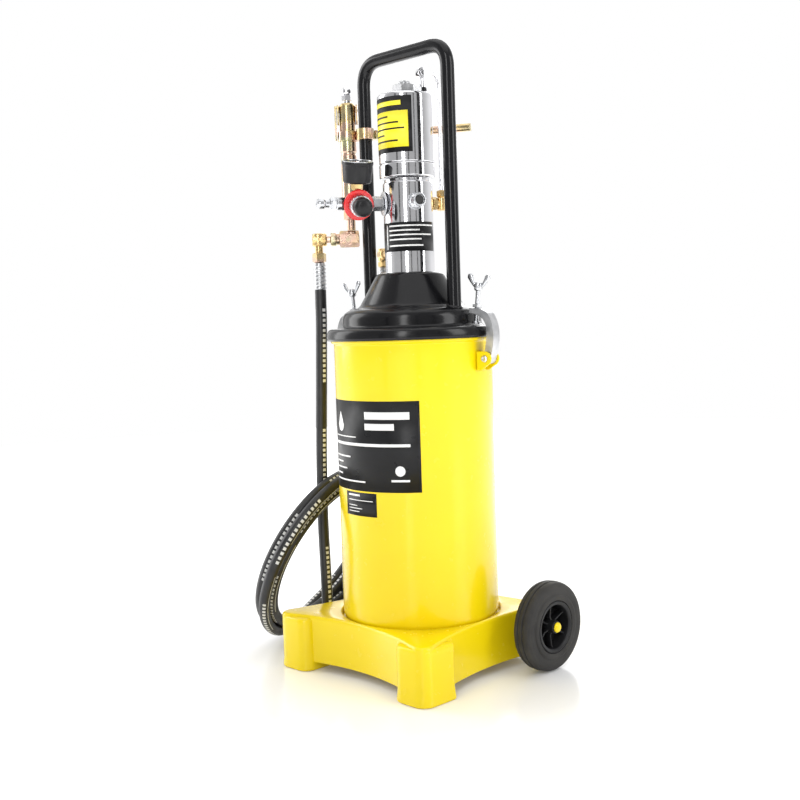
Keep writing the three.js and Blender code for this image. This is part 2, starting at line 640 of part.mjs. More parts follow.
function makeGun() {
  const gun = new THREE.Group();
  gun.position.set(gunX, gunY, 0);
  group.add(gun);
  add('gun_body', turned([
    [0, gunBottom], [gunRadius - 1, gunBottom], [gunRadius - 1, gunBottom + 8], [gunRadius, gunBottom + 9],
    [gunRadius, gunBottom + 48], [gunRadius - 1, gunBottom + 49], [gunRadius - 1, gunBottom + 51],
    [gunRadius, gunBottom + 52], [gunRadius, gunTop - 3], [gunRadius - 3, gunTop], [0, gunTop],
  ], 16), yellowZinc, gun);
  add('gun_outlet_nut', join(
    rod(5, gunTop + fitGap, 8, 16), hexBar(13, gunTop + 3, 9),
    turned([[0, gunTop + 10], [6.5, gunTop + 12], [7, gunTop + 16], [4.5, gunTop + 20], [0, gunTop + 21]], 16)), chrome, gun);

  // lever: two cheeks beside the body, a channel running back from them and a drop arm in front
  const lever = new THREE.Group();
  lever.rotation.z = (armTurn - 90) * deg;
  gun.add(lever);
  const cheekGap = gunRadius + runGap;
  const cheeks = [-1, 1].map((side) => block(17, 2.2, 26).translate(-2, side * (cheekGap + 1.1), gunTop - 15));
  const bridgeX = -cheekGap - 5;
  const bridge = block(2.4, 2 * cheekGap + 4.4, 8).translate(bridgeX, 0, gunTop - 5);
  const bridgeCheeks = [-1, 1].map((side) => block(10, 2.2, 8).translate(-cheekGap - 1, side * (cheekGap + 1.1), gunTop - 5));
  const channel = block(92, 11, 2.2).translate(bridgeX - 45, 0, gunTop - 5);
  const ribs = [-1, 1].map((side) => block(92, 2.2, 10).translate(bridgeX - 45, side * 5.5, gunTop - 9));
  const drop = block(10, 2.4, 44).translate(0, -cheekGap - 4.5, gunTop - 26);
  const dropTop = block(10, 6, 2.4).translate(0, -cheekGap - 2.7, gunTop - 5.2);
  const pinHole = aimed(rod(2.4, 0, 60), at(0, 1, 0), at(0, -30, gunTop - 9));
  add('gun_lever', cut(join(...cheeks, bridge, ...bridgeCheeks, channel, ...ribs, drop, dropTop), pinHole), yellowZinc, lever);
  const rivets = [-1, 1].map((side) =>
    aimed(rod(2.1, cheekGap - fitGap, 3, 12), at(0, side, 0), at(0, 0, gunTop - 9)));
  add('gun_lever_pin_outer', rivets[0], zinc, lever);
  add('gun_lever_pin_inner', rivets[1], zinc, lever);

  const nutTop = gunBottom - fitGap;
  const neckFoot = swivelZ + swivelAcross / Math.sqrt(3) + fitGap;
  add('gun_inlet_nut', join(hexBar(17, nutTop - 14, 14), rod(5.5, neckFoot, nutTop - 13 - neckFoot)), yellowZinc, gun);

  const arm = new THREE.Group();
  arm.position.set(0, 0, swivelZ);
  arm.rotation.z = (armTurn + 180) * deg;
  gun.add(arm);
  const out = at(1, 0, 0);
  const origin = at();
  add('swivel_block', join(aimed(hexBar(swivelAcross, -10, 26), out, origin), rod(8, -8, 16)), brass, arm);
  add('swivel_nut', aimed(join(rod(7.5, 16 + fitGap, 6, 20), rod(9, 20, 8, 20), rod(4.5, 27, 6, 16)), out, origin), yellowZinc, arm);
  const elbowBlock = aimed(rod(8.5, 33 + fitGap, elbowOut - 33 + 8, 20), out, origin);
  const elbowDrop = rod(8.5, -8, 16, 20).translate(elbowOut, 0, 0);
  const elbowNeck = rod(5.2, -17, 10, 16).translate(elbowOut, 0, 0);
  add('hose_elbow', join(elbowBlock, elbowDrop, elbowNeck), brass, arm);
  const nutFoot = -17 - fitGap - 12;
  const crimp = rod(ferruleRadius, nutFoot - ferruleLength, ferruleLength + 1, 16);
  add('gun_ferrule', join(hexBar(16, nutFoot, 12), crimp).translate(elbowOut, 0, 0), yellowZinc, arm);
}

// ---- hose ----

const hoseFoot = at(elbowOut, 0, 0).applyAxisAngle(at(0, 0, 1), (armTurn + 180) * deg)
  .add(at(gunX, gunY, swivelZ - 17 - fitGap - 12 - ferruleLength));

// the coil leans with its foot on the floor and its top against the drum
const leanWay = at(Math.cos(coilTurn * deg), Math.sin(coilTurn * deg), 0);
const coilUp = leanWay.clone().multiplyScalar(Math.sin(coilLean * deg)).setZ(Math.cos(coilLean * deg));
const coilSide = at(-leanWay.y, leanWay.x, 0);
const coilReach = coilRadius + hoseRadius;
const coilCentre = at(coilFootX, coilFootY, hoseRadius + 1).addScaledVector(coilUp, coilReach);

function makeHose() {
  const drop = new THREE.CatmullRomCurve3([
    hoseFoot.clone().setZ(hoseFoot.z - fitGap),
    at(-131, -39, 440),
    at(-135, -40, 350),
    at(-139, -41, 260),
    at(-141, -41, 180),
    at(-141, -40, 120),
    at(-141, -39, 72),
    at(-147, -33, 39),
    at(-161, -16, 17),
    at(-181, 7, 8.5),
    at(-203, 28, 13.5),
    at(-218, 48, 26.5),
  ]);
  add('hose_drop', tube(drop, hoseRadius, 8, 34), hoseRubber);

  const half = coilSpread;
  const bundle = [
    [coilReach + hoseRadius, -3.1], [coilReach + 3.1, -hoseRadius], [coilRadius - half, -hoseRadius],
    [coilRadius - half - 0.5, 4], [coilRadius - 5, 21], [coilRadius + 5, 21], [coilReach + hoseRadius, 4],
  ];
  const frame = new THREE.Matrix4().makeBasis(coilSide, coilUp, coilSide.clone().cross(coilUp)).setPosition(coilCentre);
  const outside = bundle.map(([radius, offset]) => [radius, -offset]);
  add('hose_coil', turned(outside, 36).applyMatrix4(frame), hoseRubber);

  const outletWay = compass(outletTurn);
  const riseEnd = outletWay.clone().multiplyScalar(outletOut).setZ(outletHeight - 17 - ferruleLength - fitGap);
  const rise = new THREE.CatmullRomCurve3([
    riseEnd,
    at(riseEnd.x, riseEnd.y + 1, 410),
    at(-109, 65, 340),
    at(-117, 75, 275),
    at(-136, 90, 215),
    at(-163, 106, 166),
  ]);
  add('hose_rise', tube(rise, hoseRadius, 8, 24), hoseRubber);
}

// ---- grease outlet behind the pump ----

function makeOutlet() {
  const way = compass(outletTurn);
  const base = at(0, 0, outletHeight);
  const stem = join(rod(4.6, barrelRadius - 3, 16, 16), hexBar(16, barrelRadius + 1, 12));
  const pipe = aimed(join(stem, rod(6, barrelRadius + 10, outletOut - barrelRadius - 10, 16)), way, base);
  const corner = way.clone().multiplyScalar(outletOut);
  const drop = rod(7.5, outletHeight - 9, 17, 20).translate(corner.x, corner.y, 0);
  const neck = rod(5.2, outletHeight - 17, 10, 16).translate(corner.x, corner.y, 0);
  add('grease_outlet', join(pipe, drop, neck), brass);
  const ferrule = rod(ferruleRadius, outletHeight - 17 - ferruleLength, ferruleLength - fitGap, 16).translate(corner.x, corner.y, 0);
  add('outlet_ferrule', ferrule, yellowZinc);
}

// ---- assembly ----

makeBaseFrame();
makeAxle();
makeWheel('left', -1);
makeWheel('right', 1);
makeDrum();
makeLid();
makeHandle();
for (const [name, angle] of Object.entries(clampAngles)) makeClamp(name, angle);
makePump();
makeMuffler();
makeCrossover();
makeRegulator();
makeHanger();
makeGun();
makeOutlet();
makeHose();

// the origin goes to the middle of the footprint, hose and its end fittings left out
const freeHose = new Set(['hose_drop', 'hose_coil', 'hose_rise', 'gun_ferrule', 'outlet_ferrule']);
group.updateMatrixWorld(true);
const bounds = new THREE.Box3();
group.traverse((item) => {
  if (item.isMesh && !freeHose.has(item.name)) bounds.expandByObject(item, true);
});
const middle = bounds.getCenter(at());
group.position.set(-middle.x, -middle.y, -bounds.min.z);

export default group;
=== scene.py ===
# Wheeled air-operated grease dispenser: looks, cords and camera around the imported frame.
# Shapes are drawn in millimetres from the drum's axis, with the floor at zero, and placed in metres.

import math

import bmesh
import bpy
from mathutils import Matrix, Quaternion, Vector


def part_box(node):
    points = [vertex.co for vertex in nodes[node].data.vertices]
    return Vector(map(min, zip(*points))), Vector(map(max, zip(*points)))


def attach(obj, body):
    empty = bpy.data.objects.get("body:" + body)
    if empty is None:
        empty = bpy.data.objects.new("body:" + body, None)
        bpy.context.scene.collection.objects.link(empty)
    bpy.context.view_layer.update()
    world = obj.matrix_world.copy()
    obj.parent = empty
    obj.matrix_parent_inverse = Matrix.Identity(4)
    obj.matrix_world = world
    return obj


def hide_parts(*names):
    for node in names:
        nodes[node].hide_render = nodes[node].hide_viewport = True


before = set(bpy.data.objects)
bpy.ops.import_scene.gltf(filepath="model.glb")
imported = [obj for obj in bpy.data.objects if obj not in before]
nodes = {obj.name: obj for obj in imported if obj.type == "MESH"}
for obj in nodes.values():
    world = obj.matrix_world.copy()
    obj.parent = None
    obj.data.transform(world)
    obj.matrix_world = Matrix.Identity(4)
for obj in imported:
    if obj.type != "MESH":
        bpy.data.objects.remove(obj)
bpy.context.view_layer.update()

tankLow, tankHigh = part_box("tank")
drumX = (tankLow.x + tankHigh.x) / 2
drumY = (tankLow.y + tankHigh.y) / 2


def spot(x, y, z):
    return Vector((drumX + x / 1000, drumY + y / 1000, z / 1000))


def compass(angle):  # from -Y towards +X, in degrees
    return Vector((math.sin(math.radians(angle)), -math.cos(math.radians(angle)), 0))


# camera

cameraView = {
    "place": (991.8, -997.2, 444.8),
    "right": (0.70104, 0.71234, -0.03352),
    "up": (-0.02940, 0.07583, 0.99669),
    "ahead": (-0.71252, 0.69773, -0.07411),
    "lens": 49.7,
}


def makeCamera():
    data = bpy.data.cameras.new("camera")
    data.sensor_width = 36
    data.lens = cameraView["lens"]
    data.clip_end = 60
    camera = bpy.data.objects.new("camera", data)
    bpy.context.scene.collection.objects.link(camera)
    axes = [Vector(cameraView["right"]), Vector(cameraView["up"]), -Vector(cameraView["ahead"])]
    turn = Matrix([[axis[row] for axis in axes] for row in range(3)]).to_4x4()
    camera.matrix_world = Matrix.Translation(spot(*cameraView["place"])) @ turn
    bpy.context.scene.camera = camera
    bpy.context.scene.view_settings.view_transform = "Standard"


makeCamera()
print("camera placed")


# finishes

def nodeOf(tree, kind, **settings):
    node = tree.nodes.new(kind)
    for name, value in settings.items():
        if name in node.inputs:
            node.inputs[name].default_value = value
        else:
            setattr(node, name, value)
    return node


def mathOf(tree, operation, first, second=0.0):
    node = tree.nodes.new("ShaderNodeMath")
    node.operation = operation
    for socket, value in zip(node.inputs, (first, second)):
        if isinstance(value, bpy.types.NodeSocket):
            tree.links.new(value, socket)
        else:
            socket.default_value = value
    return node.outputs[0]


def mottleOf(tree, coords, scale, detail=3.0, stretch=(1, 1, 1)):
    mapping = nodeOf(tree, "ShaderNodeMapping", Scale=stretch)
    tree.links.new(coords, mapping.inputs["Vector"])
    noise = nodeOf(tree, "ShaderNodeTexNoise", Scale=scale, Detail=detail)
    tree.links.new(mapping.outputs[0], noise.inputs["Vector"])
    return noise.outputs["Fac"]


def rangeOf(tree, value, low, high, fromLow=0.3, fromHigh=0.7):
    node = nodeOf(tree, "ShaderNodeMapRange")
    tree.links.new(value, node.inputs["Value"])
    for name, number in (("From Min", fromLow), ("From Max", fromHigh), ("To Min", low), ("To Max", high)):
        node.inputs[name].default_value = number
    return node.outputs[0]


# tones: colours spread by a slow mottle; rough: lowest and highest roughness; relief: bump height in mm
def finish(name, tones, rough, metal=0.0, mottle=18.0, relief=0.0, reliefScale=600.0,
           stretch=(1, 1, 1), coat=0.0, coatRough=0.03, shine=0.5):
    made = bpy.data.materials.new(name)
    made.use_nodes = True
    tree = made.node_tree
    shader = tree.nodes["Principled BSDF"]
    coords = tree.nodes.new("ShaderNodeTexCoord").outputs["Object"]
    ramp = tree.nodes.new("ShaderNodeValToRGB")
    stops = ramp.color_ramp.elements
    while len(stops) < len(tones):
        stops.new(0.5)
    for i, tone in enumerate(tones):
        stops[i].position = 0.32 + 0.36 * i / max(1, len(tones) - 1)
        stops[i].color = (*tone, 1)
    tree.links.new(mottleOf(tree, coords, mottle), ramp.inputs[0])
    tree.links.new(ramp.outputs[0], shader.inputs["Base Color"])
    wear = mottleOf(tree, coords, 90.0, 4.0, stretch)
    tree.links.new(rangeOf(tree, wear, *rough), shader.inputs["Roughness"])
    shader.inputs["Metallic"].default_value = metal
    shader.inputs["Coat Weight"].default_value = coat
    shader.inputs["Coat Roughness"].default_value = coatRough
    shader.inputs["Specular IOR Level"].default_value = shine
    if relief:
        height = mottleOf(tree, coords, reliefScale, 2.0, stretch)
        bump = nodeOf(tree, "ShaderNodeBump", Strength=1.0, Distance=relief / 1000)
        tree.links.new(height, bump.inputs["Height"])
        tree.links.new(bump.outputs[0], shader.inputs["Normal"])
    return made


yellowPaint = finish("yellow_paint", [(0.80, 0.60, 0.002), (0.85, 0.65, 0.003)], (0.20, 0.28), mottle=6,
                     relief=0.010, reliefScale=260, coat=0.2, coatRough=0.05, shine=0.32)
blackPaint = finish("black_paint", [(0.004, 0.004, 0.005), (0.007, 0.007, 0.008)], (0.16, 0.24), mottle=8,
                    relief=0.010, reliefScale=260, coat=0.08, coatRough=0.05, shine=0.24)
chrome = finish("chrome", [(0.72, 0.72, 0.74), (0.80, 0.80, 0.82)], (0.07, 0.14), metal=1.0, mottle=30,
                relief=0.002, reliefScale=400, stretch=(1, 1, 6))
zinc = finish("zinc_plate", [(0.50, 0.51, 0.53), (0.66, 0.67, 0.69)], (0.22, 0.36), metal=1.0, mottle=70,
              relief=0.012, reliefScale=900)
castZinc = finish("cast_zinc", [(0.44, 0.45, 0.46), (0.60, 0.60, 0.61)], (0.30, 0.46), metal=1.0, mottle=90,
                  relief=0.03, reliefScale=800)
yellowZinc = finish("yellow_zinc", [(0.46, 0.40, 0.25), (0.66, 0.50, 0.24), (0.62, 0.42, 0.34),
                                    (0.50, 0.49, 0.30)],
                    (0.20, 0.36), metal=1.0, mottle=32, relief=0.010, reliefScale=900)
brass = finish("brass", [(0.60, 0.42, 0.18), (0.74, 0.54, 0.26)], (0.22, 0.36), metal=1.0, mottle=60,
               relief=0.012, reliefScale=800)
steel = finish("turned_steel", [(0.42, 0.42, 0.44), (0.55, 0.55, 0.56)], (0.25, 0.4), metal=1.0, mottle=50,
               relief=0.006, reliefScale=300, stretch=(1, 1, 14))
tyreRubber = finish("tyre_rubber", [(0.020, 0.019, 0.018), (0.045, 0.043, 0.040)], (0.55, 0.78), mottle=45,
                    relief=0.05, reliefScale=700, shine=0.3)
darkRubber = finish("dark_rubber", [(0.010, 0.010, 0.010), (0.020, 0.020, 0.020)], (0.45, 0.6), mottle=60,
                    relief=0.03, reliefScale=900)
blackPlastic = finish("black_plastic", [(0.008, 0.008, 0.009), (0.016, 0.016, 0.017)], (0.30, 0.44),
                      mottle=60, relief=0.02, reliefScale=1200, shine=0.25)
redPlastic = finish("red_plastic", [(0.62, 0.010, 0.012), (0.74, 0.016, 0.018)], (0.22, 0.32), mottle=50,
                    relief=0.008, reliefScale=900, coat=0.3)
labelBlack = finish("label_black", [(0.009, 0.009, 0.010), (0.014, 0.014, 0.015)], (0.26, 0.36), mottle=20,
                    shine=0.2, relief=0.006, reliefScale=500)
labelWhite = finish("label_white", [(0.78, 0.78, 0.77), (0.86, 0.86, 0.85)], (0.3, 0.4), mottle=40,
                    relief=0.004, reliefScale=600)
labelYellow = finish("label_yellow", [(0.90, 0.76, 0.02), (0.94, 0.80, 0.03)], (0.28, 0.36), mottle=20,
                     relief=0.005, reliefScale=500)
dialWhite = finish("dial_white", [(0.80, 0.80, 0.79), (0.86, 0.86, 0.85)], (0.4, 0.5), mottle=80,
                   relief=0.004, reliefScale=900)
gasketRubber = finish("gasket_rubber", [(0.012, 0.012, 0.012), (0.022, 0.022, 0.022)], (0.5, 0.65), mottle=80,
                    relief=0.03, reliefScale=900)


def makeLensClear():
    made = finish("lens_clear", [(0.94, 0.96, 0.96), (0.97, 0.98, 0.98)], (0.03, 0.07), mottle=40,
                  relief=0.001, reliefScale=400)
    shader = made.node_tree.nodes["Principled BSDF"]
    shader.inputs["Transmission Weight"].default_value = 1.0
    shader.inputs["IOR"].default_value = 1.45
    return made


lensClear = makeLensClear()
print("finishes made")


# shapes: each is a list of points in millimetres and a list of faces

def moved(shape, matrix):
    return [matrix @ point for point in shape[0]], shape[1]


def shifted(shape, x=0.0, y=0.0, z=0.0):
    return moved(shape, Matrix.Translation((x, y, z)))


def aimed(shape, way, foot=(0, 0, 0), spin=0.0):  # turns what stands along +Z to point along way
    upright = Vector((0, 0, 1))
    turn = upright.rotation_difference(Vector(way).normalized()) @ Quaternion(upright, math.radians(spin))
    return moved(shape, Matrix.Translation(foot) @ turn.to_matrix().to_4x4())


def softened(profile, radius, steps):  # rounds an outline's corners, apart from points on the axis
    rounded = []
    last = len(profile) - 1
    for i, point in enumerate(profile):
        here, before, after = Vector(point), Vector(profile[i - 1]), Vector(profile[(i + 1) % (last + 1)])
        turn = (here - before).angle(after - here, 0.0)
        if (profile[0][0] < 1e-6 and i in (0, last)) or turn < 0.12:
            rounded.append(here)
            continue
        reach = min(radius, (before - here).length * 0.45, (after - here).length * 0.45)
        start = here + (before - here).normalized() * reach
        end = here + (after - here).normalized() * reach
        for k in range(steps + 1):
            t = k / steps
            rounded.append(start * (1 - t) ** 2 + here * 2 * t * (1 - t) + end * t * t)
    return rounded


def looped(rings, closed):  # skins a list of rings of point numbers; a ring of one point is a tip
    faces = []
    for low, high in zip(rings, rings[1:] + (rings[:1] if closed else [])):
        count = max(len(low), len(high))
        for k in range(count):
            n = (k + 1) % count
            corners = [low[k % len(low)], low[n % len(low)], high[n % len(high)], high[k % len(high)]]
            face = list(dict.fromkeys(corners))
            if len(face) > 2:
                faces.append(face)
    return faces


def turned(profile, sides=64, soft=0.5, steps=3, flute=0.0):  # lathe work from radius and height pairs
    outline = softened(profile, soft, steps) if soft else [Vector(point) for point in profile]
    points, rings = [], []
    for radius, height in outline:
        if radius < 1e-6:
            rings.append([len(points)])
            points.append(Vector((0, 0, height)))
            continue
        rings.append(list(range(len(points), len(points) + sides)))
        for k in range(sides):
            angle = 2 * math.pi * k / sides
            reach = radius - (flute if k % 4 in (0, 1) else 0)
            points.append(Vector((reach * math.cos(angle), reach * math.sin(angle), height)))
    return points, looped(rings, profile[0][0] > 1e-6)


def pin(radius, low, high, soft=0.4, sides=40):
    return turned([(0, low), (radius, low), (radius, high), (0, high)], sides, soft)


def collar(inner, outer, low, high, soft=0.4, sides=64):
    return turned([(inner, low), (outer, low), (outer, high), (inner, high)], sides, soft)


def hexNut(acrossFlats, low, high, sides=48):  # a bar of six flats with cone-turned ends
    flat = acrossFlats / 2
    corner = flat / math.cos(math.pi / 6)
    rise = (corner - flat) * 0.75
    levels = [(low + rise * k / 3, flat * 0.97 + (corner - flat * 0.97) * k / 3) for k in range(4)]
    levels += [(low + high - height, cone) for height, cone in reversed(levels)]
    points, rings = [Vector((0, 0, low))], [[0]]
    for height, cone in levels:
        rings.append(list(range(len(points), len(points) + sides)))
        for k in range(sides):
            angle = 2 * math.pi * k / sides
            reach = min(flat / math.cos((angle % (math.pi / 3)) - math.pi / 6), cone)
            points.append(Vector((reach * math.cos(angle), reach * math.sin(angle), height)))
    rings.append([len(points)])
    points.append(Vector((0, 0, high)))
    return points, looped(rings, False)


def thread(radius, low, high, pitch=1.6, sides=32):  # a screw seen from a little way off: close rings
    profile = [(0, low), (radius, low)]
    height = low + pitch
    while height < high - pitch:
        profile += [(radius, height - pitch * 0.2), (radius * 0.86, height + pitch * 0.25)]
        profile.append((radius, height + pitch * 0.7))
        height += pitch
    return turned(profile + [(radius, high), (0, high)], sides, 0)


def brick(x, y, z):
    half = Vector((x / 2, y / 2, z / 2))
    ends = (-1, 1)
    points = [Vector((half.x * i, half.y * j, half.z * k)) for k in ends for j in ends for i in ends]
    return points, [[0, 2, 3, 1], [4, 5, 7, 6], [0, 1, 5, 4], [2, 6, 7, 3], [0, 4, 6, 2], [1, 3, 7, 5]]


def slab(outline, thickness):  # an outline in X and Z, thick along Y about its middle
    count = len(outline)
    points = [Vector((x, side * thickness / 2, z)) for side in (-1, 1) for x, z in outline]
    faces = [list(range(count)), list(range(2 * count - 1, count - 1, -1))]
    faces += [[k, k + count, (k + 1) % count + count, (k + 1) % count] for k in range(count)]
    return points, faces


def arc(centre, radius, start, end, steps=10):
    angles = [math.radians(start + (end - start) * k / steps) for k in range(steps + 1)]
    return [(centre[0] + radius * math.cos(a), centre[1] + radius * math.sin(a)) for a in angles]


def bezier(start, control, end, steps=12):
    start, control, end = Vector(start), Vector(control), Vector(end)
    shares = [k / steps for k in range(steps + 1)]
    return [start * (1 - t) ** 2 + control * 2 * t * (1 - t) + end * t * t for t in shares]


def flowing(points, spacing):  # an even line through the points
    line = []
    ends = [2 * points[0] - points[1]] + list(points) + [2 * points[-1] - points[-2]]
    for a, b, c, d in zip(ends, ends[1:], ends[2:], ends[3:]):
        count = max(2, round((c - b).length / spacing))
        for k in range(count):
            t = k / count
            bend, twist = 2 * a - 5 * b + 4 * c - d, 3 * b - a - 3 * c + d
            line.append(0.5 * (2 * b + (c - a) * t + bend * t ** 2 + twist * t ** 3))
    return line + [points[-1]]


def piped(path, radius, sides=24, radii=None):
    points, rings = [], []
    across = None
    for i, here in enumerate(path):
        along = (path[min(i + 1, len(path) - 1)] - path[max(i - 1, 0)]).normalized()
        if across is None:
            across = along.orthogonal().normalized()
        across = (across - along * across.dot(along)).normalized()
        other = along.cross(across)
        reach = radii[i] if radii else radius
        rings.append(list(range(len(points), len(points) + sides)))
        for k in range(sides):
            angle = 2 * math.pi * k / sides
            points.append(here + (across * math.cos(angle) + other * math.sin(angle)) * reach)
    rings = [[len(points)]] + rings + [[len(points) + 1]]
    points += [path[0].copy(), path[-1].copy()]
    return points, looped(rings, False)


# a bent rectangle on an upright cylinder
def patch(radius, fromAngle, toAngle, low, high, lift=0.0, columns=None):
    columns = columns or max(2, round(abs(toAngle - fromAngle) / 2))
    points = []
    for height in (low, high):
        for k in range(columns + 1):
            angle = fromAngle + (toAngle - fromAngle) * k / columns
            points.append(compass(angle) * (radius + lift) + Vector((0, 0, height)))
    faces = [[k, k + 1, k + 2 + columns, k + 1 + columns] for k in range(columns)]
    return points, faces


# a flat figure laid on the cylinder, from height, left and right reach
def rowed(radius, angle, rows, lift):
    columns = 8
    points = []
    for height, left, right in rows:
        for k in range(columns + 1):
            reach = left + (right - left) * k / columns
            way = compass(angle + math.degrees(reach / radius))
            points.append(way * (radius + lift) + Vector((0, 0, height)))
    faces = []
    for row in range(len(rows) - 1):
        for k in range(columns):
            corner = row * (columns + 1) + k
            faces.append([corner, corner + 1, corner + columns + 2, corner + columns + 1])
    return points, faces


def allOf(material, shapes):
    return [(shape, material) for shape in shapes]


# parts: (shape, material) pairs in millimetres, carried by place
def makePiece(name, parts, replaced=(), body="dispenser", bevel=0.0, thick=0.0, place=Matrix()):
    mesh = bpy.data.meshes.new(name)
    points, faces, faceSlots, materials = [], [], [], []
    for shape, material in parts:
        if material not in materials:
            materials.append(material)
        start = len(points)
        points += [spot(*(place @ point)) for point in shape[0]]
        faces += [[start + k for k in face] for face in shape[1]]
        faceSlots += [materials.index(material)] * len(shape[1])
    mesh.from_pydata(points, [], faces)
    for material in materials:
        mesh.materials.append(material)
    mesh.polygons.foreach_set("material_index", faceSlots)
    work = bmesh.new()
    work.from_mesh(mesh)
    bmesh.ops.recalc_face_normals(work, faces=work.faces)
    work.to_mesh(mesh)
    work.free()
    mesh.shade_smooth()
    mesh.set_sharp_from_angle(angle=math.radians(38))
    piece = bpy.data.objects.new(name, mesh)
    bpy.context.scene.collection.objects.link(piece)
    if thick:
        modifier = piece.modifiers.new("thickness", "SOLIDIFY")
        modifier.thickness = thick / 1000
        modifier.offset = 1
    if bevel:
        modifier = piece.modifiers.new("edges", "BEVEL")
        modifier.width = bevel / 1000
        modifier.segments = 2
        modifier.angle_limit = math.radians(40)
        modifier.use_clamp_overlap = True
    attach(piece, body)
    if replaced:
        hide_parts(*replaced)
    return piece


def dress(node, material):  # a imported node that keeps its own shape
    nodes[node].data.materials.clear()
    nodes[node].data.materials.append(material)
    nodes[node].data.shade_smooth()
    nodes[node].data.set_sharp_from_angle(angle=math.radians(32))


# hose

hose = {
    "radius": 7.5,
    "drop": [(-130.6, -38.7, 485.4), (-130.8, -38.8, 465), (-131, -39, 440), (-135, -40, 350),
             (-139, -41, 260), (-141, -41, 180), (-141, -40, 120), (-141, -39, 72), (-147, -33, 39),
             (-161, -16, 17), (-181, 7, 9.5), (-203, 28, 14.5)],
    "rise": [(-163, 106, 166), (-136, 90, 215), (-117, 75, 275), (-109, 65, 340), (-107.7, 58.3, 410),
             (-107.7, 57.3, 445), (-107.7, 57.3, 478.6)],
    "foot": (-229, -25, 8.5),
    "turn": 16,
    "lean": 27,
    "reach": 128.5,
    # angle round the coil, radius of the turn, and how far out of the first turn's plane it lies
    "winding": [(320, 131, -9), (345, 128.5, 0), (600, 128.5, 0), (663, 120.7, 13.4), (960, 120.7, 13.4),
                (1023, 113, 0), (1335, 113, 0), (1410, 119, -15.5), (1455, 121.5, -16)],
    "stepAngle": 9,
}


def coilLine():
    turn, lean = math.radians(hose["turn"]), math.radians(hose["lean"])
    ahead = Vector((math.cos(turn), math.sin(turn), 0))
    up = ahead * math.sin(lean) + Vector((0, 0, math.cos(lean)))
    side = Vector((-ahead.y, ahead.x, 0))
    out = -side.cross(up)
    centre = Vector(hose["foot"]) + up * hose["reach"]
    line = []
    keys = hose["winding"]
    for (angleA, radiusA, offsetA), (angleB, radiusB, offsetB) in zip(keys, keys[1:]):
        count = max(1, round((angleB - angleA) / hose["stepAngle"]))
        for k in range(count):
            t = k / count
            ease = t * t * (3 - 2 * t)
            angle = math.radians(angleA + (angleB - angleA) * t)
            radius = radiusA + (radiusB - radiusA) * ease
            offset = offsetA + (offsetB - offsetA) * ease
            line.append(centre + side * radius * math.cos(angle) + up * radius * math.sin(angle)
                        + out * offset)
    return line


def makeHoseRubber():
    made = finish("hose_rubber", [(0.008, 0.008, 0.009), (0.016, 0.016, 0.017)], (0.34, 0.5), mottle=60,
                  relief=0.02, reliefScale=900)
    tree = made.node_tree
    shader = tree.nodes["Principled BSDF"]
    base = shader.inputs["Base Color"].links[0].from_socket
    split = tree.nodes.new("ShaderNodeSeparateXYZ")
    tree.links.new(nodeOf(tree, "ShaderNodeUVMap", uv_map="run").outputs[0], split.inputs[0])
    around, along = split.outputs[0], split.outputs[1]

    def within(value, low, high):
        above, below = mathOf(tree, "GREATER_THAN", value, low), mathOf(tree, "LESS_THAN", value, high)
        return mathOf(tree, "MULTIPLY", above, below)

    # plain marks in groups, and a thin rule on the other side
    group = mathOf(tree, "FRACT", mathOf(tree, "MULTIPLY", along, 6.2))
    mark = mathOf(tree, "FRACT", mathOf(tree, "MULTIPLY", along, 150.0))
    marks = mathOf(tree, "MULTIPLY", within(group, 0.0, 0.62), within(mark, 0.0, 0.58))
    printed = mathOf(tree, "MULTIPLY", marks, within(around, 0.40, 0.49))
    rule = mathOf(tree, "MULTIPLY", within(around, 0.56, 0.575), within(group, 0.2, 0.9))
    second = mathOf(tree, "MULTIPLY", marks, within(around, 0.90, 0.99))
    both = mathOf(tree, "MAXIMUM", mathOf(tree, "MAXIMUM", printed, rule), second)
    mix = nodeOf(tree, "ShaderNodeMix", data_type="RGBA")
    tree.links.new(both, mix.inputs["Factor"])
    tree.links.new(base, mix.inputs["A"])
    mix.inputs["B"].default_value = (0.62, 0.62, 0.60, 1)
    tree.links.new(mix.outputs["Result"], shader.inputs["Base Color"])
    return made


gunHose = {"x": -130.6, "y": -38.7, "top": 521.7, "nut": 12}
outletHose = {"x": -107.7, "y": 57.3, "top": 515, "nut": 0}


def makeSleeve(name, place, node):  # pressed rings hold the hose's end
    reach = 36
    low = place["top"] - reach
    rings = [(0, low), (7.7, low), (8, low + 0.8)]
    for k in range(6):
        rings += [(8.1, low + 3 + 5 * k), (7.4, low + 4.4 + 5 * k), (8.1, low + 5.8 + 5 * k)]
    rings += [(7.4, low + 34.6), (6.4, low + 35.7), (0, low + 35.7)]
    parts = [(turned(rings, 56, 0.6), castZinc)]
    if place["nut"]:
        parts.append((hexNut(16, low + reach, low + reach + place["nut"]), yellowZinc))
    return makePiece(name, parts, [node], place=Matrix.Translation((place["x"], place["y"], 0)))


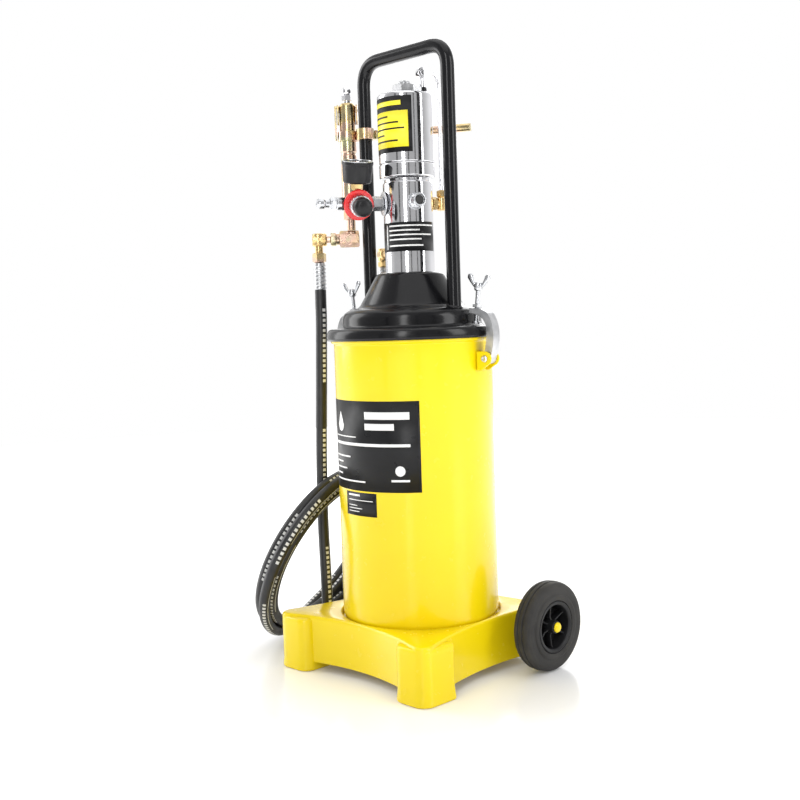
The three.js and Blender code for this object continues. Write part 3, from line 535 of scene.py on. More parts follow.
def makeHose():
    through = [Vector(p) for p in hose["drop"]] + coilLine() + [Vector(p) for p in hose["rise"]]
    line = flowing(through, 7.0)[::-1]  # from the outlet behind the pump to the gun
    sides = 24
    shape = piped(line, hose["radius"], sides)
    piece = makePiece("hose", [(shape, makeHoseRubber())], ["hose_drop", "hose_coil", "hose_rise"])
    uv = piece.data.uv_layers.new(name="run")
    gone = [0.0]
    for a, b in zip(line, line[1:]):
        gone.append(gone[-1] + (b - a).length / 1000)
    for face in piece.data.polygons:
        ks = [piece.data.loops[i].vertex_index for i in face.loop_indices]
        turns = [k % sides / sides for k in ks]
        wraps = max(turns) - min(turns) > 0.5
        for i, k, turn in zip(face.loop_indices, ks, turns):
            ring = min(k // sides, len(gone) - 1)
            uv.data[i].uv = (turn + 1 if wraps and turn < 0.5 else turn, gone[ring])
    ends = [makeSleeve("hose_sleeve", gunHose, "gun_ferrule"),
            makeSleeve("outlet_sleeve", outletHose, "outlet_ferrule")]


makeHose()
print("hose laid")


# foot frame

footFrame = {"front": 131, "rear": 116, "side": 108, "rounding": 14, "top": 71, "bottom": 11, "seat": 101.8,
             "seatFloor": 64, "wall": 4, "drain": 36, "footHalf": 26.4, "footMiddle": 105.2}


def frameOutline(inset):
    front, rear = footFrame["front"] - inset, footFrame["rear"] - inset
    side, rounding = footFrame["side"] - inset, footFrame["rounding"]
    corners = [(front, -front), (rear, rear), (-rear, rear), (-front, -front)]
    outline = []
    for k, way in enumerate(((0, 1), (-1, 0), (0, -1), (1, 0))):  # a bowed side, then the corner it runs to
        way, start, corner = Vector(way), Vector(corners[k]), Vector(corners[(k + 1) % 4])
        outward = Vector((way.y, -way.x))
        bow = outward * (2 * side - (start + corner).dot(outward) / 2)
        end = corner - way * rounding
        outline += bezier(start + way * rounding, bow, end, 28)[:-1]
        outline += bezier(end, corner, corner - outward * rounding, 8)[:-1]
    return outline


def footPost(side):
    half, middle = footFrame["footHalf"], footFrame["footMiddle"]
    corners = [(-1, -1, 15), (1, -1, 15), (1, 1, 4), (-1, 1, 4)]
    outline = []
    for i, j, radius in corners:
        start = {(-1, -1): 180, (1, -1): 270, (1, 1): 0, (-1, 1): 90}[(i, j)]
        centre = (i * (half - radius), j * (half - radius))
        outline += arc(centre, radius, start, start + 90, 8)
    levels = [(0.0, 0.955), (0.5, 1.0), (1.4, 1.035), (4, 1.045), (9, 1.02), (16, 1.0), (58, 1.0),
              (64.5, 0.99), (66.6, 0.955), (67.4, 0.90)]
    points, rings = [Vector((side * middle, -middle, 0))], [[0]]
    for height, grow in levels:
        rings.append(list(range(len(points), len(points) + len(outline))))
        points += [Vector((side * middle + x * grow, -middle + y * grow, height)) for x, y in outline]
    rings.append([len(points)])
    points.append(Vector((side * middle, -middle, 67.4)))
    return points, looped(rings, False)


def makeFootFrame():
    top, bottom, wall = footFrame["top"], footFrame["bottom"], footFrame["wall"]
    levels = [(0, bottom + 0.8), (0, bottom + 3), (0, 40), (0, top - 4)]
    levels += [(0.35, top - 2.2), (1.2, top - 0.9), (2.4, top - 0.2), (3.6, top)]
    rings = [[Vector((p.x, p.y, z)) for p in frameOutline(inset)] for inset, z in levels]
    angles = [math.atan2(point.y, point.x) for point in rings[0]]
    seat, floor, drain = footFrame["seat"], footFrame["seatFloor"], footFrame["drain"]
    for radius, z in ((seat + 2.4, top), (seat + 1.1, top - 0.4), (seat + 0.3, top - 1.3), (seat, top - 2.6),
                      (seat, floor + 1), (seat - 1, floor), (drain, floor), (drain, floor - wall)):
        rings.append([Vector((radius * math.cos(a), radius * math.sin(a), z)) for a in angles])
    for inset, z in ((wall, floor - wall), (wall, bottom + 0.8), (wall - 0.8, bottom), (0.8, bottom)):
        rings.append([Vector((p.x, p.y, z)) for p in frameOutline(inset)])
    count = len(rings[0])
    points = [point for ring in rings for point in ring]
    shell = points, looped([list(range(k * count, (k + 1) * count)) for k in range(len(rings))], True)
    makePiece("foot_frame", allOf(yellowPaint, [shell, footPost(-1), footPost(1)]), ["base_frame"])


makeFootFrame()
print("foot frame made")


# wheels

wheel = {
    "innerX": 133, "y": 75, "z": 56, "spokes": 6,
    "tyre": [(32.9, 4), (39, 3.2), (40, 2.2), (46, 1.2), (51, 1.8), (54.2, 4.2), (55.5, 7.6), (55.6, 9.4),
             (54.2, 10), (54.2, 11), (55.9, 11.6), (56, 14), (55.9, 16.4), (54.2, 17), (54.2, 18),
             (55.6, 18.6), (55.5, 20.4), (54.2, 24), (51.2, 26.4), (46, 27), (41, 26.5), (40, 27.5),
             (38.6, 27.8), (33.2, 27.2), (32.9, 26)],
}


def makeWheel(name, side):
    place = Matrix.Translation((side * wheel["innerX"], wheel["y"], wheel["z"]))
    place = place @ Matrix.Rotation(side * math.pi / 2, 4, "Y")
    body = name + "_wheel"
    tyre = [(turned(wheel["tyre"], 128, 0.7), tyreRubber)]
    makePiece(name + "_tyre_piece", tyre, [name + "_tyre"], body, place=place)
    rim = [turned([(27, 3), (32.7, 3), (32.7, 26), (31.6, 27.3), (28.2, 26.6), (27, 25)], 96, 0.8),
           turned([(0, 6), (27.5, 6), (27.5, 9.4), (0, 9.4)], 96, 0.3),
           turned([(4.3, 0), (8, 0), (8, 27), (7, 28), (4.3, 28)], 64, 0.8)]
    for k in range(wheel["spokes"]):
        rib = slab([(6.5, 9), (27.5, 9), (27.5, 21), (24, 19.5), (12, 18), (6.5, 20.5)], 1.9)
        rim.append(moved(rib, Matrix.Rotation(math.radians(360 / wheel["spokes"] * k), 4, "Z")))
    makePiece(name + "_rim_piece", allOf(blackPlastic, rim), [name + "_wheel_rim"], body, bevel=0.35,
              place=place)
    cap = [turned([(0, 28.3), (6.4, 28.3), (6.4, 29.6), (5.2, 31), (0, 31.5)], 48, 0.6),
           hexNut(9.6, 28.6, 31.2)]
    makePiece(name + "_cap_piece", allOf(yellowPaint, cap), [name + "_hub_cap"], body, place=place)


makeWheel("left", -1)
makeWheel("right", 1)
dress("axle", zinc)
print("wheels made")


# drum, gasket and lid

drum = {
    "wall": [(0, 64.3), (91, 64.3), (97, 65.6), (99.4, 69), (100, 74), (100, 414), (103.6, 415.2),
             (104, 419.3), (98.5, 419.3), (98.5, 76), (96, 68.5), (90, 66.8), (0, 66.8)],
}

lid = {
    "shell": [(105.5, 418.3), (107.6, 418.3), (108.7, 420.5), (108.7, 426), (107, 431), (103, 433),
              (90.5, 433.6), (88.2, 436), (88, 446), (85.5, 452), (80, 455.6), (74, 457.2), (68, 458.6),
              (65, 461.5), (60, 470), (46.5, 494), (43.5, 499), (39, 501.2), (31.5, 501.3), (31.5, 498.3),
              (38, 498.2), (41, 495), (61, 459), (66, 455.6), (80, 451.5), (84, 447), (85, 441), (85, 423),
              (105.5, 423)],
}


def makeDrumAndLid():
    makePiece("drum", [(turned(drum["wall"], 180, 2.2, 5), yellowPaint)], ["tank"])
    dress("tank_gasket", gasketRubber)
    makePiece("lid_shell", [(turned(lid["shell"], 180, 2.2, 5), blackPaint)], ["lid"])
    dress("lid_lock_nut", steel)


makeDrumAndLid()
print("drum and lid made")


# handle

handle = {"reach": 74, "radius": 8.5, "bend": 30, "top": 773.5, "foot": 446}


def makeHandle():
    reach, bend, top, foot = handle["reach"], handle["bend"], handle["top"], handle["foot"]
    half = [Vector((-reach, 0, foot + (top - bend - foot) * k / 24)) for k in range(24)]
    bent = bezier((-reach, top - bend), (-reach, top), (-reach + bend, top), 18)
    half += [Vector((p.x, 0, p.y)) for p in bent]
    half += [Vector((-reach + bend + (reach - bend) * k / 4, 0, top)) for k in range(1, 4)]
    line = half + [Vector((0, 0, top))] + [Vector((-p.x, 0, p.z)) for p in reversed(half)]
    parts = [(piped(line, handle["radius"], 48), blackPaint)]
    for side in (-1, 1):  # weld bead where each leg stands on the lid
        bead = turned([(8.2, -1.6), (10.4, -1.2), (10.6, 0.4), (8.2, 2.4)], 48, 0.8)
        parts.append((aimed(bead, (side * 0.25, 0, 1), (side * reach, 0, 456.8)), blackPaint))
    makePiece("push_handle", parts, ["handle"])


makeHandle()
print("handle made")


# lid clamps

clamp = {"angles": {"right": 100, "left": 276}, "pinX": 112, "pinZ": 392, "cheek": 9.3, "width": 15,
         "boltX": 97, "bridge": 448.9, "lean": 6}


def makeClamp(name):
    spin = Matrix.Rotation(math.radians(clamp["angles"][name] - 90), 4, "Z")
    pinX, pinZ, cheek = clamp["pinX"], clamp["pinZ"], clamp["cheek"]
    outline = [(100.7, pinZ - 14), (107, pinZ - 14)] + arc((pinX, pinZ), 9, -70, 90, 14) + [(100.7, pinZ + 9)]
    ear = [shifted(slab(outline, 2.2), y=side * cheek) for side in (-1, 1)]
    ear.append(shifted(brick(2.2, 2 * cheek + 2, 23), 101.9, 0, pinZ - 2.5))
    makePiece(name + "_ear", allOf(yellowPaint, ear), [name + "_clamp_ear"], bevel=0.6, place=spin)

    rivet = [aimed(pin(3, -11.4, 11.4), (0, 1, 0), (pinX, 0, pinZ))]
    for side in (-1, 1):
        head = turned([(0, 10.6), (4.4, 10.6), (4.2, 12.2), (2.6, 13), (2.2, 12.4), (0, 12.2)], 40, 0.4)
        rivet.append(aimed(head, (0, side, 0), (pinX, 0, pinZ)))
    makePiece(name + "_rivet", allOf(zinc, rivet), [name + "_clamp_pin"], place=spin)

    seat, bridge, boltX = 422.9, clamp["bridge"], clamp["boltX"]
    hook = arc((pinX, pinZ), 6.5, 210, 360, 12)
    hook += [tuple(p) for p in bezier(hook[-1], (pinX + 18, seat + 4), (pinX + 4, bridge - 2), 14)[1:]]
    hook += [tuple(p) for p in bezier(hook[-1], (pinX - 4, bridge + 5), (boltX - 7, bridge + 5), 10)[1:]]
    hook += [(boltX - 7, bridge - 1)]
    hook += [tuple(p) for p in bezier(hook[-1], (pinX - 4, bridge - 2), (pinX + 1, seat + 10), 10)[1:]]
    hook += [tuple(p) for p in bezier(hook[-1], (pinX + 4, seat - 8), (pinX - 5, pinZ - 3), 14)[1:-1]]
    boltTop = Vector((boltX, 0, bridge + 2))
    lean = Vector((-math.sin(math.radians(clamp["lean"])), 0, -math.cos(math.radians(clamp["lean"]))))
    hookParts = [slab(hook, clamp["width"]), aimed(hexNut(11, 0.5, 4.5), lean, boltTop - lean * 8)]
    makePiece(name + "_hook_piece", allOf(castZinc, hookParts), [name + "_clamp_hook"], name + "_hook",
              bevel=0.9, place=spin)

    reach = (boltTop.z - 433.4) / abs(lean.z) - 1.2
    crown = turned([(0, -34), (4.2, -34), (5.2, -31), (5, -25), (3.6, -23.5), (0, -23.5)], 40, 0.8)
    bolt = [thread(3, -28, reach - 2), pin(5, reach - 3, reach), crown]
    for side in (-1, 1):
        path = [(3, -28), (6.4, -31), (9.6, -35.5), (12.4, -40.5), (13.4, -43.5)]
        wing = piped([Vector((side * x, 0, z)) for x, z in path], None, 20, [2.4, 2.3, 3.0, 4.0, 2.4])
        bolt.append(moved(wing, Matrix.Diagonal((1, 0.6, 1, 1))))
    bolt = [aimed(shape, lean, boltTop) for shape in bolt]
    makePiece(name + "_bolt_piece", allOf(zinc, bolt), [name + "_wing_bolt"], name + "_bolt", bevel=0.3,
              place=spin)


for clampName in clamp["angles"]:
    makeClamp(clampName)
print("clamps made")


# pump

pump = {
    "barrel": [(27.2, 399.3), (31.2, 399.3), (31.2, 612), (30.4, 613.6), (29.2, 614.2), (29.2, 617.5),
               (27.2, 617.5)],
    "collar": [(25.2, 619), (33.6, 619), (34.8, 620.2), (34.8, 634.8), (34, 636.3), (25.2, 636.5)],
    "cylinder": [(31.8, 636.8), (34.2, 636.8), (34.6, 637.6), (34.8, 719), (33.6, 721.6), (9, 722),
                 (9, 716), (31.8, 716)],
    "headTurn": 62, "portHeight": 588, "capFlats": 27,
}


def makePump():
    makePiece("barrel_tube", [(turned(pump["barrel"], 128, 0.5), chrome)], ["pump_barrel"])
    makePiece("barrel_collar", [(turned(pump["collar"], 128, 0.5), chrome)], ["pump_collar"])
    makePiece("air_cylinder_tube", [(turned(pump["cylinder"], 128, 0.8), chrome)], ["air_cylinder"])
    cap = [hexNut(pump["capFlats"], 722.3, 734.6),
           turned([(0, 734), (8, 734), (7.6, 737.2), (6.4, 737.6), (0, 737.6)], 48, 0.5)]
    for side in (-1, 1):  # the lugs beside the screwdriver slot
        cap.append(shifted(brick(9.5, 3.4, 2.2), 0, side * 3.2, 738.2))
    makePiece("cap_nut", allOf(castZinc, cap), ["cylinder_cap"], bevel=0.3)
    for node, material in (("suction_tube", steel), ("foot_valve", brass), ("pump_rod", steel),
                           ("air_piston", brass), ("follower_plate", darkRubber)):
        dress(node, material)

    out = compass(pump["headTurn"])
    foot = (0, 0, pump["portHeight"])
    canister = turned([(0, 37), (8.1, 37), (8.4, 38), (8.4, 48.6), (7.8, 50), (6.3, 50.3), (5.9, 49.2),
                       (5.9, 47.4), (0, 47.4)], 64, 0.4)
    mesh = turned([(0, 47), (5.6, 47), (5.2, 48.2), (0, 48.8)], 32, 0.4)
    washer = turned([(0, 31.4), (10.6, 31.4), (10.6, 32.8), (0, 32.8)], 64, 0.4)
    silencer = allOf(zinc, [hexNut(17, 32.4, 37.2), canister]) + [(mesh, darkRubber)]
    silencer += allOf(zinc, [washer, pin(4.6, 28, 34)])
    makePiece("silencer", [(aimed(shape, out, foot), material) for shape, material in silencer], ["muffler"])


makePump()
print("pump made")


# air line from the head up to the cylinder's top

airLine = {"turn": 152, "out": 45.2, "foot": 604.3, "banjo": (15.5, 17, 749), "side": (0.35, 0.94, 0),
           "radius": 2.6}


def makeAirLine():
    out = compass(airLine["turn"])
    port = Vector((0, 0, pump["portHeight"]))
    corner = out * airLine["out"] + port
    parts = [aimed(hexNut(14, 32.2, 38.2), out, port), aimed(pin(4.6, 28, 46), out, port),
             shifted(turned([(0, -9), (6, -9), (6.6, -8), (6.6, 6), (5, 8.6), (0, 8.6)], 48, 0.8), *corner),
             shifted(hexNut(12, 8, 16), *corner)]
    makePiece("elbow_fitting", allOf(brass, parts), ["air_elbow"])

    banjo, side = Vector(airLine["banjo"]), Vector(airLine["side"])
    start = banjo + side * 7.8
    foot = airLine["foot"]
    points = [Vector((corner.x, corner.y, z)) for z in (foot, foot + 50, 712, 734)]
    points += [Vector((corner.x * 0.99, corner.y * 0.9, 746)), start + side * 5, start]
    tubeParts = [piped(flowing(points, 3), airLine["radius"], 20),
                 shifted(pin(3.8, foot, foot + 5), corner.x, corner.y)]
    makePiece("air_tube", allOf(chrome, tubeParts), ["crossover_tube"])

    across = (0.94, -0.35, 0)
    eye = turned([(0, -5), (7.1, -5), (7.5, -4.4), (7.5, 4.4), (7.1, 5), (0, 5)], 64, 0.4)
    button = turned([(0, 4.6), (4.6, 4.6), (4.4, 6), (0, 6.3)], 40, 0.4)
    fitting = [aimed(eye, across, banjo), aimed(button, across, banjo), aimed(pin(4.4, 4, 8.6), side, banjo),
               shifted(pin(4, 722.3, 744), banjo.x, banjo.y, 0),
               shifted(hexNut(12, 725, 731), banjo.x, banjo.y, 0)]
    makePiece("banjo", allOf(chrome, fitting), ["crossover_fitting"])


makeAirLine()
print("air line made")


# regulator with its gauge and quick plug

regulator = {"out": 67, "tilt": 14, "gauge": 19.5, "gaugeLow": 25.6, "gaugeHigh": 52.6}


def makeRegulator():
    turn = Matrix.Rotation(math.radians(pump["headTurn"] - 180), 4, "Z")
    tilt = Matrix.Rotation(math.radians(-regulator["tilt"]), 4, "X")
    line = Matrix.Translation((0, 0, pump["portHeight"])) @ turn
    head = line @ Matrix.Translation((regulator["out"], 0, 0)) @ tilt
    ahead = (1, 0, 0)
    knobWay = (0, 1, 0)
    washer = turned([(0, 31.3), (14.5, 31.3), (15, 32), (15, 32.8), (0, 33)], 64, 0.3)
    coupling = [aimed(shape, ahead) for shape in (hexNut(16, 33.4, 47.2), washer, pin(4.6, 28, 34))]
    makePiece("coupling", allOf(zinc, coupling), ["regulator_coupling"], place=line)

    barrel = turned([(0, -19.5), (7.4, -19.5), (8, -18.5), (8, 18.5), (7.4, 19.5), (0, 19.5)], 56, 0.6)
    bell = turned([(0, -16), (9, -16), (13, -13), (13.6, -10), (13.6, 2), (0, 2)], 64, 1)
    flange = turned([(0, 1.8), (16.4, 1.8), (17.4, 3), (17.4, 7.2), (16.6, 8), (0, 8)], 72, 0.6)
    body = allOf(blackPlastic, [aimed(barrel, ahead), aimed(bell, knobWay)])
    body += [(aimed(flange, knobWay), castZinc), (pin(7.4, 0, 16, 0.8), blackPlastic)]
    makePiece("regulator_housing", body, ["regulator_body"], place=head)
    band = turned([(11, 8.4), (18, 8.4), (19, 9.2), (19, 11.4), (18, 12.3), (11, 12.3)], 96, 0.7)
    makePiece("red_band", [(aimed(band, knobWay), redPlastic)], ["regulator_ring"], place=head)
    skirt = turned([(0, 12.5), (13.3, 12.5), (13.4, 13.4), (13.4, 22.6), (12.4, 24.4), (0, 24.4)],
                   72, 0.5, 3, 0.45)
    dome = turned([(0, 24), (11.4, 24), (12, 26), (12, 33), (11.2, 36.4), (8.6, 39.2), (4.4, 40.6), (0, 41)],
                  72, 2.0, 5)
    knob = [(aimed(skirt, knobWay), zinc), (aimed(dome, knobWay), blackPlastic)]
    makePiece("knob_piece", knob, ["regulator_knob"], "knob", place=head)

    stem = allOf(brass, [pin(5, 16.3, 26), hexNut(13, 17.5, 25.2)])
    makePiece("gauge_foot", stem, ["gauge_stem"], place=head)
    low, high, wide = regulator["gaugeLow"], regulator["gaugeHigh"], regulator["gauge"]
    case = turned([(0, low), (wide - 3.4, low), (wide - 1.9, low + 1.4), (wide - 0.5, high - 5.4),
                   (wide, high - 4.4), (wide, high - 0.6), (wide - 0.8, high), (wide - 1.7, high - 0.4),
                   (wide - 1.9, high - 7), (0, high - 7)], 96, 0.4)
    rim = turned([(wide - 1.9, high - 1.2), (wide - 0.4, high - 1.2), (wide + 0.05, high - 0.5),
                  (wide - 0.6, high + 0.1), (wide - 1.7, high)], 96, 0.3)
    parts = [(case, blackPlastic), (rim, zinc), (pin(wide - 2.1, high - 7, high - 6.6), dialWhite)]
    for k in range(11):  # plain scale marks, every fifth one long
        mark = shifted(brick(3.2 if k % 5 == 0 else 1.8, 0.7, 0.3), wide - 5, 0, high - 6.45)
        parts.append((moved(mark, Matrix.Rotation(math.radians(-27 * k), 4, "Z")), darkRubber))
    makePiece("gauge_housing", parts, ["gauge_case"], place=head)
    needle = slab([(-3, -0.3), (10.5, -0.1), (10.5, 0.1), (-3, 0.3)], 1.2)
    hub = pin(1.8, high - 6.0, high - 4.9, 0.2)
    pointer = [(shifted(needle, 0, 0, high - 5.6), redPlastic), (hub, blackPlastic)]
    makePiece("needle_piece", pointer, ["gauge_needle"], "needle", place=head)
    glass = turned([(0, high - 2.4), (wide - 2.2, high - 2.4), (wide - 2.2, high - 1.2), (0, high - 0.8)],
                   72, 0.2)
    makePiece("gauge_glass", [(glass, lensClear)], ["gauge_lens"], place=head)

    start = 19.8
    outline = [(0, 0), (8.2, 0), (8.4, 0.6), (8.4, 5.6), (7, 7), (7, 13.6), (5, 15.6), (5, 20.6), (6.6, 22.6),
               (6.6, 27.8), (5, 31), (3, 31), (3, 24), (0, 24)]
    plug = [turned([(radius, start + height) for radius, height in outline], 56, 0.5),
            hexNut(15, start + 7.4, start + 13.2)]
    makePiece("air_plug", allOf(zinc, [aimed(shape, ahead) for shape in plug]), ["quick_plug"], place=head)


makeRegulator()
print("regulator made")


# hanger bar and lever gun

gun = {"x": -100, "y": -7, "radius": 10.5, "bottom": 590, "top": 727, "turn": 46, "swivelZ": 551, "elbow": 44}
hanger = {"turn": 118, "away": 46, "start": -84, "length": 157, "height": 684}


def makeHanger():
    along, away = compass(hanger["turn"]), compass(hanger["turn"] + 90) * hanger["away"]
    height = hanger["height"]
    bar = turned([(0, 0), (4.4, 0), (5, 0.8), (5, hanger["length"] - 0.8), (4.4, hanger["length"]),
                  (0, hanger["length"])], 48, 0.5)
    parts = [aimed(bar, along, away + along * hanger["start"] + Vector((0, 0, height))),
             shifted(collar(8.8, 12, -7, 7), -handle["reach"], 0, height),
             shifted(brick(10, 11, 11), -69.5, 15.5, height),
             shifted(collar(10.8, 13.7, -6, 6), gun["x"], gun["y"], height)]
    for link in (pin(3.4, 0, 20), hexNut(9, 2, 7)):  # from the gun's ring to the handle's clip
        parts.append(aimed(link, (24, 12, 0), (gun["x"] + 12.4, gun["y"] + 5, height)))
    makePiece("hanger", allOf(yellowZinc, parts), ["hanger_bar"], bevel=0.4)


def makeGun():
    place = Matrix.Translation((gun["x"], gun["y"], 0))
    low, high, wide = gun["bottom"], gun["top"], gun["radius"]
    body = turned([(0, low), (wide - 1.2, low), (wide - 0.6, low + 1), (wide - 0.6, low + 8),
                   (wide, low + 9.4), (wide, low + 69.4), (wide - 1.1, low + 70.4), (wide - 1.1, low + 73),
                   (wide, low + 74), (wide, high - 4), (wide - 1, high - 1.6), (wide - 3, high), (0, high)],
                  72, 0.5)
    makePiece("gun_tube", [(body, yellowZinc)], ["gun_body"], place=place)
    nozzle = [pin(5, high + 0.3, high + 8), hexNut(12, high + 3, high + 10.6),
              turned([(0, high + 10), (6.2, high + 11.4), (7, high + 13.6), (6.6, high + 17),
                      (4.4, high + 20.4), (0, high + 21)], 48, 0.8)]
    makePiece("gun_nozzle", allOf(chrome, nozzle), ["gun_outlet_nut"], place=place)

    lever = place @ Matrix.Rotation(math.radians(gun["turn"] - 90), 4, "Z")
    gap = wide + 0.6
    cheek = [(-10, high - 26), (2, high - 28), (6.4, high - 22), (6.4, high - 4), (3.4, high - 2),
             (-10, high - 2)]
    parts = [shifted(slab(cheek, 2.2), y=side * (gap + 1.1)) for side in (-1, 1)]
    parts.append(shifted(brick(2.4, 2 * gap + 4.4, 8), -16.1, 0, high - 5))
    parts += [shifted(brick(12, 2.2, 8), -gap - 1, side * (gap + 1.1), high - 5) for side in (-1, 1)]
    parts.append(shifted(brick(92, 11, 2.2), -61.1, 0, high - 4.6))
    grip = slab([(-46, -5), (44, -5), (46, 3), (46, 5), (-46, 5)], 2)
    parts += [shifted(grip, -61.1, side * 5, high - 8.4) for side in (-1, 1)]
    drop = [(-4.6, high - 3.6), (4.6, high - 3.6), (5, high - 30)]
    drop += arc((0, high - 43), 5, 0, -180, 10) + [(-5, high - 30)]
    parts.append(shifted(slab(drop, 2.4), y=-gap - 4.5))
    parts.append(shifted(brick(10, 6, 2.4), 0, -gap - 2.7, high - 5.2))
    makePiece("squeeze_lever", allOf(yellowZinc, parts), ["gun_lever"], "lever", bevel=0.5, place=lever)
    for node in ("gun_lever_pin_outer", "gun_lever_pin_inner"):
        dress(node, zinc)

    nut = [hexNut(17, low - 14.3, low - 0.3), pin(5.5, low - 27.7, low - 13),
           thread(5.4, low - 27, low - 14, 1.5)]
    makePiece("inlet_nut", allOf(yellowZinc, nut), ["gun_inlet_nut"], place=place)

    arm = Matrix.Translation((gun["x"], gun["y"], gun["swivelZ"]))
    arm = arm @ Matrix.Rotation(math.radians(gun["turn"] + 180), 4, "Z")
    out = (1, 0, 0)
    block = [aimed(hexNut(19, -10, 16), out),
             turned([(0, -8), (8, -8), (8.4, -6), (8.4, 6), (8, 9), (0, 9)], 48, 0.8)]
    makePiece("swivel_body", allOf(yellowZinc, block), ["swivel_block"], place=arm)
    ring = turned([(0, 16.3), (7.6, 16.3), (7.6, 20), (9, 21), (9, 27), (8, 28), (4.5, 28.4), (4.5, 33),
                   (0, 33)], 56, 0.5)
    makePiece("swivel_ring", [(aimed(ring, out), yellowZinc)], ["swivel_nut"], place=arm)
    elbow = gun["elbow"]
    knee = [aimed(turned([(0, 33.3), (7.6, 33.3), (8.5, 34.4), (8.5, elbow + 7), (7.8, elbow + 8),
                          (0, elbow + 8.2)], 56, 0.6), out),
            shifted(turned([(0, -8), (8.5, -8), (8.6, 0), (8.4, 6), (7.4, 8.2), (0, 8.6)], 56, 1.0), elbow),
            shifted(pin(5.2, -17, -7), elbow)]
    makePiece("hose_knee", allOf(brass, knee), ["hose_elbow"], place=arm)


makeHanger()
makeGun()
print("gun made")


# grease outlet at the back

outlet = {"turn": 242, "height": 532, "out": 122}


def makeOutlet():
    way = compass(outlet["turn"])
    height, out = outlet["height"], outlet["out"]
    corner = way * out
    socket = [(0, out - 14), (7.2, out - 14), (8, out - 12), (8, out + 6), (7, out + 7.4), (0, out + 7.6)]
    tube = turned([(0, 41), (6, 41), (6, out), (0, out)], 48, 0.4)
    level = [pin(4.6, 28, 34), hexNut(16, 32.2, 44.2), tube, turned(socket, 48, 0.8)]
    pipe = [aimed(shape, way, (0, 0, height)) for shape in level]
    for shape in (pin(7.6, height - 9, height + 8, 1.0), pin(5.2, height - 17, height - 7),
                  hexNut(14, height - 16.7, height - 10)):
        pipe.append(shifted(shape, corner.x, corner.y))
    makePiece("outlet_knee", allOf(brass, pipe), ["grease_outlet"])


makeOutlet()
print("outlet made")


# labels without lettering: plain panels, rules and a drop

labels = {"drumRadius": 100, "headRadius": 34.8, "barrelRadius": 31.2, "drumLow": 236, "drumHigh": 346,
          "thick": 0.12, "markThick": 0.06, "lift": 0.05, "markLift": 0.2}


def dropRows(height, width, foot):  # a drop's outline: round below its belly, pointed above
    rows = []
    belly = 0.36
    for k in range(17):
        t = k / 16
        if t < belly:
            share = math.sqrt(max(0, 1 - (1 - t / belly) ** 2))
        else:
            share = (1 - (t - belly) / (1 - belly)) ** 0.85
        reach = width / 2 * share
        rows.append((foot + height * t, -max(reach, 0.05), max(reach, 0.05)))
    return rows


def makeLabels():
    thick, fine = labels["thick"], labels["markThick"]
    lift, markLift = labels["lift"], labels["markLift"]
    low, high = labels["drumLow"], labels["drumHigh"]
    radius, wide, slim = labels["drumRadius"], labels["headRadius"], labels["barrelRadius"]

    def bar(reach, fromAngle, toAngle, foot, top, columns=None):
        return patch(reach, fromAngle, toAngle, foot, top, markLift, columns)

    panel = [(patch(radius, -46, 48, low, high, lift), labelBlack)]
    makePiece("drum_label", panel, thick=thick)
    marks = [rowed(radius, -22, dropRows(25, 17, high - 39), markLift),
             bar(radius, -34, -2, high - 45, high - 43.6), bar(radius, 7, 41, high - 22, high - 13),
             bar(radius, 7, 30, high - 35, high - 27), bar(radius, -34, 41, high - 55, high - 51.4),
             bar(radius, 27, 40, low + 13, low + 15.6)]
    for k, reach in enumerate((-9, -20, -14, -22, 6)):
        marks.append(bar(radius, -34, reach, low + 40 - 7.4 * k, low + 42 - 7.4 * k))
    angles = [math.radians(-90 + 9 * k) for k in range(21)]
    discRows = [(low + 26 + 6.2 * math.sin(a), -6.2 * math.cos(a), 6.2 * math.cos(a)) for a in angles]
    marks.append(rowed(radius, 33.5, discRows, markLift))
    makePiece("drum_label_marks", allOf(labelWhite, marks), thick=fine)
    panel = [(patch(radius, -16, 15, 205, 234, lift), labelBlack)]
    makePiece("small_label", panel, thick=thick)
    lines = [bar(radius, -13, 0, 229, 231.4), bar(radius, -13, 12, 223.6, 224.6),
             bar(radius, -13, -3, 217, 218), bar(radius, -13, 2, 213.4, 214.4),
             bar(radius, -13, -1, 209.6, 210.6)]
    makePiece("small_label_marks", allOf(labelWhite, lines), thick=fine)

    panel = [(patch(wide, -50, 58, 648, 716, lift, 60), labelBlack)]
    makePiece("head_label", panel, thick=thick)
    for name, shape in (("head_panel", bar(wide, -50, 50, 654, 698, 60)),
                        ("head_heading", bar(wide, -38, 36, 704.6, 710.2, 30))):
        makePiece(name, [(shape, labelYellow)], thick=fine)
    rows = [patch(wide, -44, reach, 690.6 - 7.4 * k, 692.6 - 7.4 * k, 0.3, 24)
            for k, reach in enumerate((6, 30, 42, -4, 28))]
    makePiece("head_lines", allOf(labelBlack, rows), thick=fine)

    panel = [(patch(slim, -60, 118, 527, 563, lift, 90), labelBlack)]
    makePiece("barrel_label", panel, thick=thick)
    rows = [bar(slim, -6, reach, 557.6 - 5.6 * k, 559.4 - 5.6 * k, 40)
            for k, reach in enumerate((112, 70, 104, 74))]
    rows += [bar(slim, -6, 78, 533, 535, 40), bar(slim, -16, -12, 530, 560, 3)]
    makePiece("barrel_label_lines", allOf(labelWhite, rows), thick=fine)


makeLabels()
print("labels made")


# studio

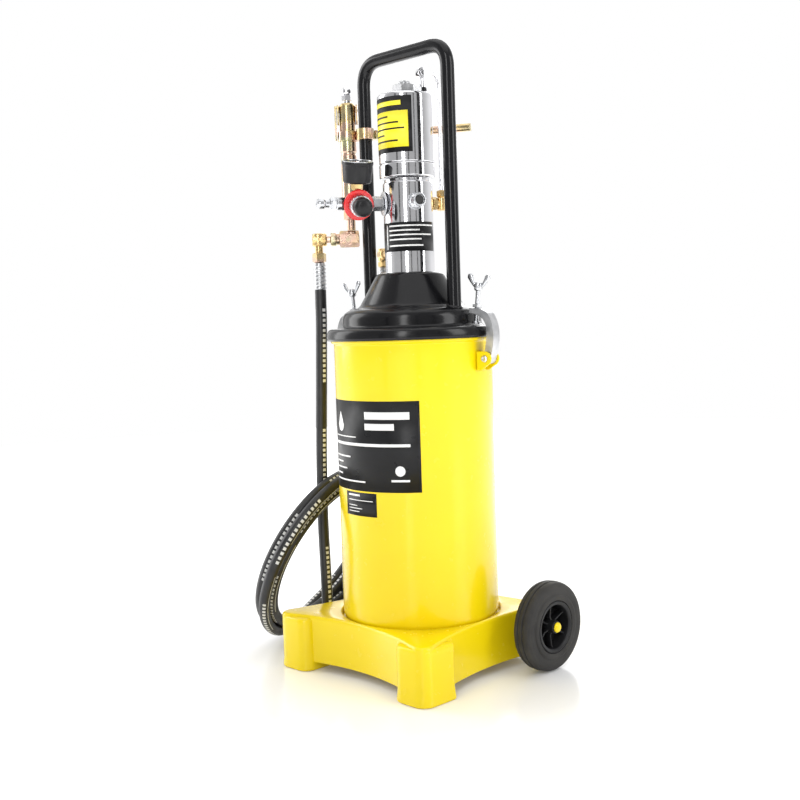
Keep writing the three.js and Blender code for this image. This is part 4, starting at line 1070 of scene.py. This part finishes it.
studio = {
    "ahead": (-0.73, 0.68, 0.0),  # the way from the lens to the white backdrop
    "backdrop": 1.0,
    "room": 0.5,
    "lights": [
        # name, place, height aimed at, width, height, watts
        ("key", (1.3, -2.1, 1.3), 0.35, 0.45, 2.0, 22),
        ("left", (-2.3, -1.0, 1.2), 0.35, 1.2, 2.2, 30),
        ("right", (2.6, 0.8, 1.3), 0.35, 1.0, 2.0, 30),
        ("back", (-1.6, 2.4, 1.8), 0.35, 2.0, 1.6, 30),
        ("top", (0.3, -0.2, 2.6), 0.2, 2.4, 2.4, 20),
    ],
    "cards": [((1.75, -1.35, 0.8), 0.16, 1.8), ((0.2, -2.3, 0.8), 0.22, 1.8), ((2.4, -0.4, 0.8), 0.16, 1.8)],
    "floorReach": 3.2,
}


def makeRoom():  # bright towards the backdrop, dim behind the camera, and white where it is seen directly
    world = bpy.data.worlds.new("studio")
    bpy.context.scene.world = world
    world.use_nodes = True
    tree = world.node_tree
    coords = tree.nodes.new("ShaderNodeTexCoord").outputs["Generated"]
    dot = nodeOf(tree, "ShaderNodeVectorMath", operation="DOT_PRODUCT")
    tree.links.new(coords, dot.inputs[0])
    dot.inputs[1].default_value = studio["ahead"]
    glow = rangeOf(tree, dot.outputs["Value"], studio["room"], studio["backdrop"], -0.25, 0.45)
    seen = tree.nodes.new("ShaderNodeLightPath").outputs["Is Camera Ray"]
    tree.links.new(mathOf(tree, "MAXIMUM", glow, seen), tree.nodes["Background"].inputs["Strength"])
    tree.nodes["Background"].inputs["Color"].default_value = (1, 1, 1, 1)


def makeGlowingFloor():  # painted light: the floor glows, lifting to plain white away from the object
    made = finish("floor_painted_glow", [(0.84, 0.84, 0.84), (0.88, 0.88, 0.88)], (0.16, 0.22), mottle=2)
    tree = made.node_tree
    shader = tree.nodes["Principled BSDF"]
    coords = tree.nodes.new("ShaderNodeTexCoord").outputs["Object"]
    away = nodeOf(tree, "ShaderNodeVectorMath", operation="LENGTH")
    tree.links.new(coords, away.inputs[0])
    # painted light: white floor emission rising from 0.05 near the middle to 1.0 from 1.1 m out
    paintedGlow = rangeOf(tree, away.outputs["Value"], 0.05, 1.0, 0.25, 1.1)
    tree.links.new(paintedGlow, shader.inputs["Emission Strength"])
    shader.inputs["Emission Color"].default_value = (1, 1, 1, 1)
    return made


def makeStudio():
    makeRoom()
    reach = studio["floorReach"]
    mesh = bpy.data.meshes.new("floor")
    mesh.from_pydata([(x, y, 0) for x, y in arc((0, 0), reach, 0, 355, 71)], [], [list(range(72))])
    mesh.materials.append(makeGlowingFloor())
    floor = bpy.data.objects.new("floor", mesh)
    bpy.context.scene.collection.objects.link(floor)

    for name, place, aim, width, height, watts in studio["lights"]:
        data = bpy.data.lights.new(name, "AREA")
        data.shape = "RECTANGLE"
        data.size, data.size_y, data.energy = width, height, watts
        lamp = bpy.data.objects.new(name, data)
        bpy.context.scene.collection.objects.link(lamp)
        lamp.location = place
        lamp.rotation_euler = (Vector(place) - Vector((0, 0, aim))).to_track_quat("Z", "Y").to_euler()

    cardPaint = finish("card_paint", [(0.01, 0.01, 0.01), (0.02, 0.02, 0.02)], (0.8, 0.9), mottle=2)
    for k, (place, width, height) in enumerate(studio["cards"]):
        mesh = bpy.data.meshes.new("card")
        half, tall = width / 2, height / 2
        corners = [(-half, -tall, 0), (half, -tall, 0), (half, tall, 0), (-half, tall, 0)]
        mesh.from_pydata(corners, [], [[0, 1, 2, 3]])
        mesh.materials.append(cardPaint)
        card = bpy.data.objects.new("card_" + str(k), mesh)
        bpy.context.scene.collection.objects.link(card)
        card.location = place
        card.rotation_euler = (Vector(place) - Vector((0, 0, place[2]))).to_track_quat("Z", "Y").to_euler()
        card.visible_camera = False
        card.visible_shadow = False
        card.visible_diffuse = False


makeStudio()
print("studio made")
